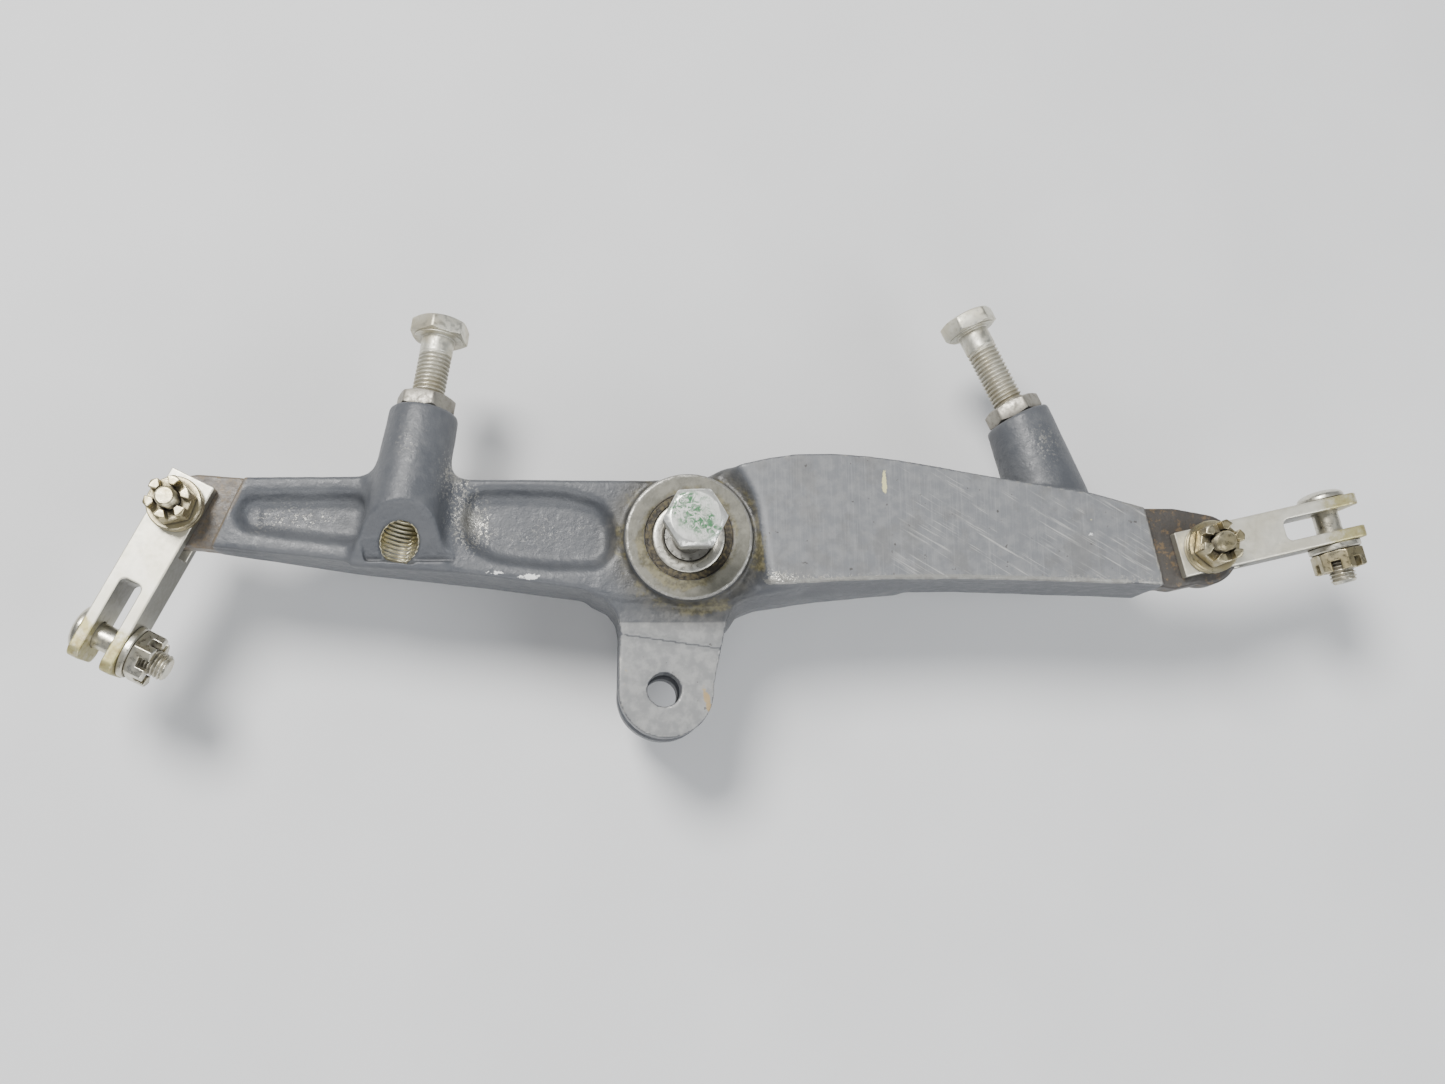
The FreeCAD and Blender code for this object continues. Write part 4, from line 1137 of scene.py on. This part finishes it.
def build_tapped_thread():
    """Tapped thread showing in the inclined flat of the left boss."""
    steps = 72
    start = 20.5
    angles = circle_angles(steps)
    matrix = frame_at(LEFT_SEAT, LEFT_AXIS)
    # follow the wall down at each angle to where it leaves the casting
    depths = np.arange(20.0, 48.0, 0.1)
    ends = np.zeros(steps)
    for i, a in enumerate(angles):
        probe = np.stack([4.4 * np.cos(a) + 0 * depths, 4.4 * np.sin(a) + 0 * depths, -depths], 1)
        outside = np.where(casting_body(*place(probe, matrix).T) > -0.25)[0]
        ends[i] = min(depths[outside[0]] if len(outside) else depths[-1], 36.5)
    rings = []
    for share in np.linspace(0, 1, 220):
        depth = start + (ends - 0.15 - start) * share
        crest = thread_profile(depth / BOLT_PITCH + angles / (2 * np.pi))
        rings.append(ring(4.42 - 0.42 * (1 - crest), -depth, steps))
    for share in (1.0, 0.5, 0.0):
        depth = start + (ends - 0.15 - start) * share
        rings.append(ring(4.54, -depth, steps))
    verts, faces = looped(rings)
    ob = face_object("left_tapped_thread", place(verts, matrix),
                     [(a, d, c, b) for a, b, c, d in faces], outward=True)
    finish(ob, "crank", "tapped_thread")


build_casting()
build_tapped_thread()


# ------------------------------------------------------------------ stop bolts and pivot bolt
def build_stop_bolt(tag, seat, axis, reach_out, reach_in, spin, thread_end):
    steps = 64
    radius = 3.93
    rings = threaded_rings(-reach_in, thread_end, BOLT_PITCH, radius, depth=0.60, steps=steps,
                           per_turn=12, chamfer=0.8, runout=1.2)
    for r, z in ((radius, thread_end + 0.2), (radius, reach_out - 0.5),
                 (radius, reach_out - 0.25), (4.15, reach_out + 0.05), (4.15, reach_out + 0.6)):
        rings.append(ring(r, z, steps))
    head, head_faces = hex_head(BOLT_FLATS, 4.4, washer=0.3)
    head = head + np.array([0, 0, reach_out])
    ob = solid_object(tag + "_stop_bolt_real", [capped(rings), (head, head_faces)],
                      frame_at(seat, axis, spin))
    finish(ob, tag + "_stop_screw", "stop_steel", replaces=tag + "_stop_bolt")


def build_jam_nut(tag, seat, axis, spin):
    nut, faces = hex_nut(BOLT_FLATS, 4.0, bore=3.97)
    nut = nut + np.array([0, 0, 0.02])
    ob = solid_object(tag + "_jam_nut_real", [(nut, faces)], frame_at(seat, axis, spin))
    finish(ob, tag + "_jam", "jam_steel", replaces=tag + "_stop_jam_nut")


def build_pivot_bolt():
    """Bright shank, chamfered head, thread at the lower end."""
    steps = 72
    radius = 3.97
    rings = threaded_rings(-16.0, -3.0, BOLT_PITCH, radius, depth=0.60, steps=steps,
                           per_turn=12, chamfer=0.9, runout=1.3)
    for r, z in ((radius, -2.8), (radius, 20.0), (radius, 45.2), (radius, 45.5),
                 (4.2, 46.05), (4.2, 46.6)):
        rings.append(ring(r, z, steps))
    head, head_faces = hex_head(BOLT_FLATS, 5.8, washer=0.4, crown=0.90, slope=31)
    head = place(head, frame_at((0, 0, 46.0), (0, 0, 1), 2.0))
    ob = solid_object("pivot_bolt_real", [capped(rings), (head, head_faces)], np.eye(4))
    finish(ob, "pivot", "pivot", replaces="pivot_bolt")


build_stop_bolt("left", LEFT_SEAT, LEFT_AXIS, reach_out=19.4, reach_in=22.0, spin=12.0,
                thread_end=15.6)
build_stop_bolt("right", RIGHT_SEAT, RIGHT_AXIS, reach_out=25.0, reach_in=20.0, spin=20.0,
                thread_end=20.4)
build_jam_nut("left", LEFT_SEAT, LEFT_AXIS, spin=40.0)
build_jam_nut("right", RIGHT_SEAT, RIGHT_AXIS, spin=5.0)
build_pivot_bolt()

# ------------------------------------------------------------------ links and their pins
# A link lies along local X from its arm pin; the pin runs along local Z, the clevis
# pin at the far end along local Y.
LINK_HALF_DEPTH = 6.35               # along Z
LINK_HALF_WIDTH = 5.55               # along Y
LINK_TIP = 41.0
TIP_ROUND = 2.6
CLEVIS_X = 34.2
PLAY = 0.02                          # between the link and what bears on it
WASHER_PITCH = 1.6
PIN_STEPS = 48
LINK_CELL = 0.19
NUT_CELL = 0.125

# Angles in degrees; nut_side is the link's local Y side that carries the clevis nut.
LINKS = {
    "left": dict(pin=LEFT_PIN, mid_z=LEFT_TONGUE_Z + TONGUE_THICKNESS / 2, angle=243.0,
                 nut_side=1, clevis_spin=15.0, arm_spin=12.0, clevis_nut="cadmium_pale"),
    "right": dict(pin=RIGHT_PIN, mid_z=RIGHT_TONGUE_Z + TONGUE_THICKNESS / 2, angle=12.5,
                  nut_side=-1, clevis_spin=35.0, arm_spin=20.0, clevis_nut="cadmium"),
}


def field_object(name, function, low, high, cell, matrix, passes=0):
    """Mesh a local distance field; returns the object and its local vertices."""
    low, high = np.array(low, float), np.array(high, float)
    size = grid_size(low, high, cell)
    x, y, z = (low[i] + cell * np.arange(size[i]) for i in range(3))
    field = function(x[:, None, None], y[None, :, None], z[None, None, :]).astype(np.float32)
    field = np.ascontiguousarray(np.broadcast_to(field, size))
    verts, quads = surface_nets(field, low, cell)
    verts = relax(verts, quads, passes, amount=0.4)
    return quad_object(name, place(verts, matrix), quads), verts


def link_field(x, y, z):
    """Bar with a square heel, a blunt tip, and a fork at each end."""
    beyond_x = x - (LINK_TIP - TIP_ROUND)
    beyond_z = np.abs(z) - (LINK_HALF_DEPTH - TIP_ROUND)
    square = np.maximum(np.abs(z) - LINK_HALF_DEPTH, np.maximum(-7.5 - x, x - LINK_TIP))
    side = np.where((beyond_x > 0) & (beyond_z > 0),
                    np.sqrt(beyond_x ** 2 + beyond_z ** 2) - TIP_ROUND, square)
    bar = smax(side, np.abs(y) - LINK_HALF_WIDTH, 0.35)
    bar = smax(bar, -np.maximum(np.abs(z) - 3.325, x - 10.5), 0.2)
    # slot at the clevis end, its inner corners rounded
    corner = 1.5
    slot_y = np.abs(y) - 2.7 + corner
    slot_x = 20.0 - x + corner
    slot = (np.minimum(np.maximum(slot_y, slot_x), 0)
            + np.sqrt(np.maximum(slot_y, 0) ** 2 + np.maximum(slot_x, 0) ** 2) - corner)
    bar = smax(bar, -slot, 0.2)
    bar = smax(bar, -(np.sqrt(x ** 2 + y ** 2) - 2.42), 0.15)
    return smax(bar, -(np.sqrt((x - CLEVIS_X) ** 2 + z ** 2) - 3.2), 0.15)


def castle_nut_field(flats, height, slot_width, slot_depth, bore, crown):
    """Field of a castle nut standing on z=0."""
    tan = math.tan(math.radians(27))
    cos = math.cos(math.radians(27))
    turns = [math.radians(30 + 60 * k) for k in range(3)]

    def field(x, y, z):
        sides = [np.abs(x * math.cos(a) + y * math.sin(a)) - flats / 2 for a in turns]
        hexagon = smax(smax(sides[0], sides[1], 0.25), sides[2], 0.25)
        radius = np.sqrt(x ** 2 + y ** 2)
        nut = smax(hexagon, np.maximum(-z, z - height), 0.18)
        nut = smax(nut, (z - height + (radius - flats / 2 * 1.03) * tan) * cos, 0.12)
        nut = smax(nut, (-z + (radius - flats / 2 * 0.98) * tan) * cos, 0.15)
        below_slots = (height - slot_depth) - z
        for a in turns:
            across = np.abs(-x * math.sin(a) + y * math.cos(a)) - slot_width / 2
            nut = smax(nut, -np.maximum(across, below_slots), 0.1)
        nut = smax(nut, -np.maximum(radius - crown, below_slots), 0.1)
        return smax(nut, -(radius - bore), 0.15)
    return field


def pin_rod(start, plain_end, plain_radius, thread_start, tip, **thread):
    """Plain shank from start, then a thread whose chamfered tip points along +Z."""
    rings = threaded_rings(-tip, -thread_start, steps=PIN_STEPS, per_turn=11, **thread)
    return capped([ring(plain_radius, start, PIN_STEPS), ring(plain_radius, plain_end, PIN_STEPS)]
                  + [points * np.array([1, 1, -1]) for points in rings[::-1]])


def washer(bore, face_radius, outer, bottom, thickness):
    top = bottom + thickness
    return lathe_loop([
        (bore, bottom + 0.15), (face_radius, bottom), (6.1, bottom), (outer, bottom + 0.25),
        (outer, top - 0.3), (6.05, top), (face_radius, top), (bore, top - 0.15)], 96)


def flipped(faces):
    return [face[::-1] for face in faces]


def build_link(tag, matrix):
    ob, local = field_object(tag + "_link_bar", link_field, (-8.3, -6.4, -7.2),
                             (42.2, 6.4, 7.2), LINK_CELL, matrix, passes=1)
    x, y = local[:, 0], local[:, 1]
    tips = smooth_step(x, 23.0, 36.0) * (np.abs(np.abs(y) - 4.1) < 1.9)
    tips = np.maximum(tips, 0.5 * smooth_step(-x, 5.8, 7.5))
    set_color(ob, "tips", tips, tips * 0, tips * 0)
    finish(ob, tag + "_link_body", "link", replaces=tag + "_link")


def build_arm_pin(tag, matrix):
    """Bolt with its head below the link, two washers and a castle nut above."""
    half = LINK_HALF_DEPTH
    nut_height = 6.35
    nut_z = half + PLAY + 2 * WASHER_PITCH
    body = tag + "_arm_pin"
    rod = pin_rod(start=-half - 0.3, plain_end=half - 1.0, plain_radius=2.38,
                  thread_start=half + 1.0, tip=nut_z + nut_height + 2.0, pitch=0.794,
                  radius=2.38, depth=0.42, chamfer=0.55, runout=0.8)
    head, head_faces = hex_head(9.53, 3.2, washer=0.3)
    head = head * np.array([1, 1, -1]) + np.array([0, 0, -half - PLAY])
    ob = solid_object(tag + "_arm_bolt_real", [rod, (head, flipped(head_faces))], matrix)
    finish(ob, body, "cadmium", replaces=tag + "_arm_bolt")
    washers = [washer(bore=2.42, face_radius=2.6, outer=6.34,
                      bottom=half + PLAY + WASHER_PITCH * k, thickness=1.57) for k in range(2)]
    ob = solid_object(tag + "_arm_washers_real", washers, matrix)
    finish(ob, body, "cadmium", replaces=tag + "_arm_washers")
    nut = castle_nut_field(flats=9.53, height=nut_height, slot_width=2.1, slot_depth=2.7,
                           bore=2.45, crown=3.0)
    ob, _ = field_object(tag + "_arm_castle_nut_real", nut, (-6, -6, -0.6), (6, 6, 7.0),
                         NUT_CELL, matrix @ shift(0, 0, nut_z))
    finish(ob, body, "cadmium", replaces=tag + "_arm_castle_nut")


def build_clevis_pin(tag, matrix, nut_material):
    """Domed bolt, one washer and a thin castle nut."""
    half = LINK_HALF_WIDTH
    nut_height = 5.0
    nut_z = half + PLAY + WASHER_PITCH
    body = tag + "_clevis_pin"
    rod = pin_rod(start=-half - 0.3, plain_end=half + 0.9, plain_radius=3.155,
                  thread_start=half + 1.2, tip=nut_z + nut_height + 3.2, pitch=0.907,
                  radius=3.15, depth=0.48, chamfer=0.65, runout=0.6)
    dome = [(5.35, -half - PLAY), (5.65, -half - 0.25)]
    for share in np.linspace(0.0, 1.0, 9)[1:]:
        radius = 5.7 * (1 - share ** 2.2)
        if radius > 0.3:
            dome.append((radius, -half - 0.45 - 2.15 * math.sin(share * math.pi / 2)))
    dome.append((0.25, -half - PLAY - 2.6))
    head, head_faces = capped([ring(radius, z, 96) for radius, z in dome])
    ob = solid_object(tag + "_clevis_bolt_real", [rod, (head, flipped(head_faces))], matrix)
    finish(ob, body, "cadmium_pale", replaces=tag + "_clevis_bolt")
    plain = washer(bore=3.2, face_radius=3.4, outer=6.33, bottom=half + PLAY, thickness=1.58)
    ob = solid_object(tag + "_clevis_washer_real", [plain], matrix)
    finish(ob, body, "cadmium_pale", replaces=tag + "_clevis_washer")
    nut = castle_nut_field(flats=11.1, height=nut_height, slot_width=2.3, slot_depth=2.5,
                           bore=3.22, crown=3.6)
    ob, _ = field_object(tag + "_clevis_nut_real", nut, (-7, -7, -0.6), (7, 7, 5.6),
                         NUT_CELL, matrix @ shift(0, 0, nut_z))
    finish(ob, body, nut_material, replaces=tag + "_clevis_nut")


for tag, link in LINKS.items():
    at_pin = shift(*link["pin"], link["mid_z"])
    link_frame = at_pin @ turn_z(link["angle"])
    build_link(tag, link_frame)
    build_arm_pin(tag, at_pin @ turn_z(link["arm_spin"]))
    clevis_frame = (link_frame @ shift(CLEVIS_X, 0, 0)
                    @ np.array(aim((0, link["nut_side"], 0))) @ turn_z(link["clevis_spin"]))
    build_clevis_pin(tag, clevis_frame, link["clevis_nut"])

# ------------------------------------------------------------------ bearings
# Shield profiles: radius, height above the bearing's face.
SHOWN_SHIELD = ((5.87, -0.62), (6.05, -0.30), (6.35, -0.10), (7.0, -0.02), (7.9, -0.02),
                (8.35, -0.10), (8.62, -0.32), (8.72, -0.70), (8.4, -0.74), (6.2, -0.74))
HIDDEN_SHIELD = ((5.87, -0.62), (6.35, -0.28), (8.35, -0.28), (8.72, -0.70), (8.4, -0.74),
                 (6.2, -0.74))
BEARING_WIDTH = 8.0

for tag, face_z, out in (("upper", 27.5, 1), ("lower", 0.5, -1)):
    inner_z = face_z - out * BEARING_WIDTH
    shields = [lathe_loop([(r, face_z + out * rise) for r, rise in SHOWN_SHIELD], 120),
               lathe_loop([(r, inner_z - out * rise) for r, rise in HIDDEN_SHIELD], 96)]
    ob = solid_object(tag + "_shields_real", shields, np.eye(4), sharp=40, outward=True)
    finish(ob, "crank", "shield_steel", replaces=tag + "_shields")

# CAD pieces that keep their own mesh and only take a material.
DRESSED = {
    "greased": ("upper_outer_race", "lower_outer_race"),
    "bearing_steel": ("upper_inner_race", "lower_inner_race", "upper_balls", "lower_balls",
                      "race_spacer"),
    "bronze": ("left_arm_bush", "right_arm_bush"),
}
for material, nodes in DRESSED.items():
    for node in nodes:
        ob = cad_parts[node]
        ob = bpy.data.objects[ob] if isinstance(ob, str) else ob
        for slot in ob.material_slots:
            slot.material = MAT[material]
        if not ob.material_slots:
            ob.data.materials.append(MAT[material])


# ------------------------------------------------------------------ floor, lights, camera
def build_floor():
    m = Shader("pale_floor")
    cloud = m.noise(mm=60.0, detail=3.0, rough=0.5)
    material = m.finish(Base_Color=m.tones(cloud, span=(0.3, 0.7), low=(0.72, 0.725, 0.73),
                                           high=(0.755, 0.76, 0.765)), Roughness=0.75)
    bpy.ops.mesh.primitive_plane_add(size=6.0, location=(0, 0, CAD_BOX[0][2] - 0.0004))
    floor = bpy.context.active_object
    floor.name = "floor"
    floor.data.materials.append(material)


def disk_light(name, location, size, power, color):
    """Round area light aimed at the origin."""
    light = bpy.data.lights.new(name, "AREA")
    light.shape = "DISK"
    light.size = size
    light.energy = power
    light.color = color
    ob = add_object(name, light)
    ob.location = location
    ob.rotation_euler = (-Vector(location)).to_track_quat("-Z", "Y").to_euler()


def build_camera():
    data = bpy.data.cameras.new("photo_view")
    data.sensor_fit = "HORIZONTAL"
    data.sensor_width = 36.0
    data.lens = 38.8650519
    data.clip_start = 0.01
    data.clip_end = 50
    camera = add_object("photo_view", data)
    right = Vector((0.99608, -0.01572, 0.0870)).normalized()
    back = Vector((-0.08842, -0.1771, 0.9802)).normalized()
    up = back.cross(right).normalized()
    right = up.cross(back).normalized()
    location = (-0.0246, -0.0664, 0.3878)
    rows = [(right[i], up[i], back[i], location[i]) for i in range(3)]
    camera.matrix_world = Matrix((*rows, (0, 0, 0, 1)))
    bpy.context.scene.camera = camera


build_floor()
disk_light("key", location=(-0.35, 0.45, 0.95), size=0.40, power=17.0, color=(1.0, 0.985, 0.96))
disk_light("fill", location=(0.75, -0.35, 0.80), size=0.7, power=6.0, color=(0.95, 0.975, 1.0))
disk_light("front", location=(-0.15, -0.80, 0.55), size=0.7, power=4.0, color=(1.0, 1.0, 1.0))
world = bpy.data.worlds.new("studio")
bpy.context.scene.world = world
world.use_nodes = True
background = world.node_tree.nodes["Background"]
background.inputs["Color"].default_value = (0.80, 0.83, 0.88, 1)
background.inputs["Strength"].default_value = 0.34
build_camera()
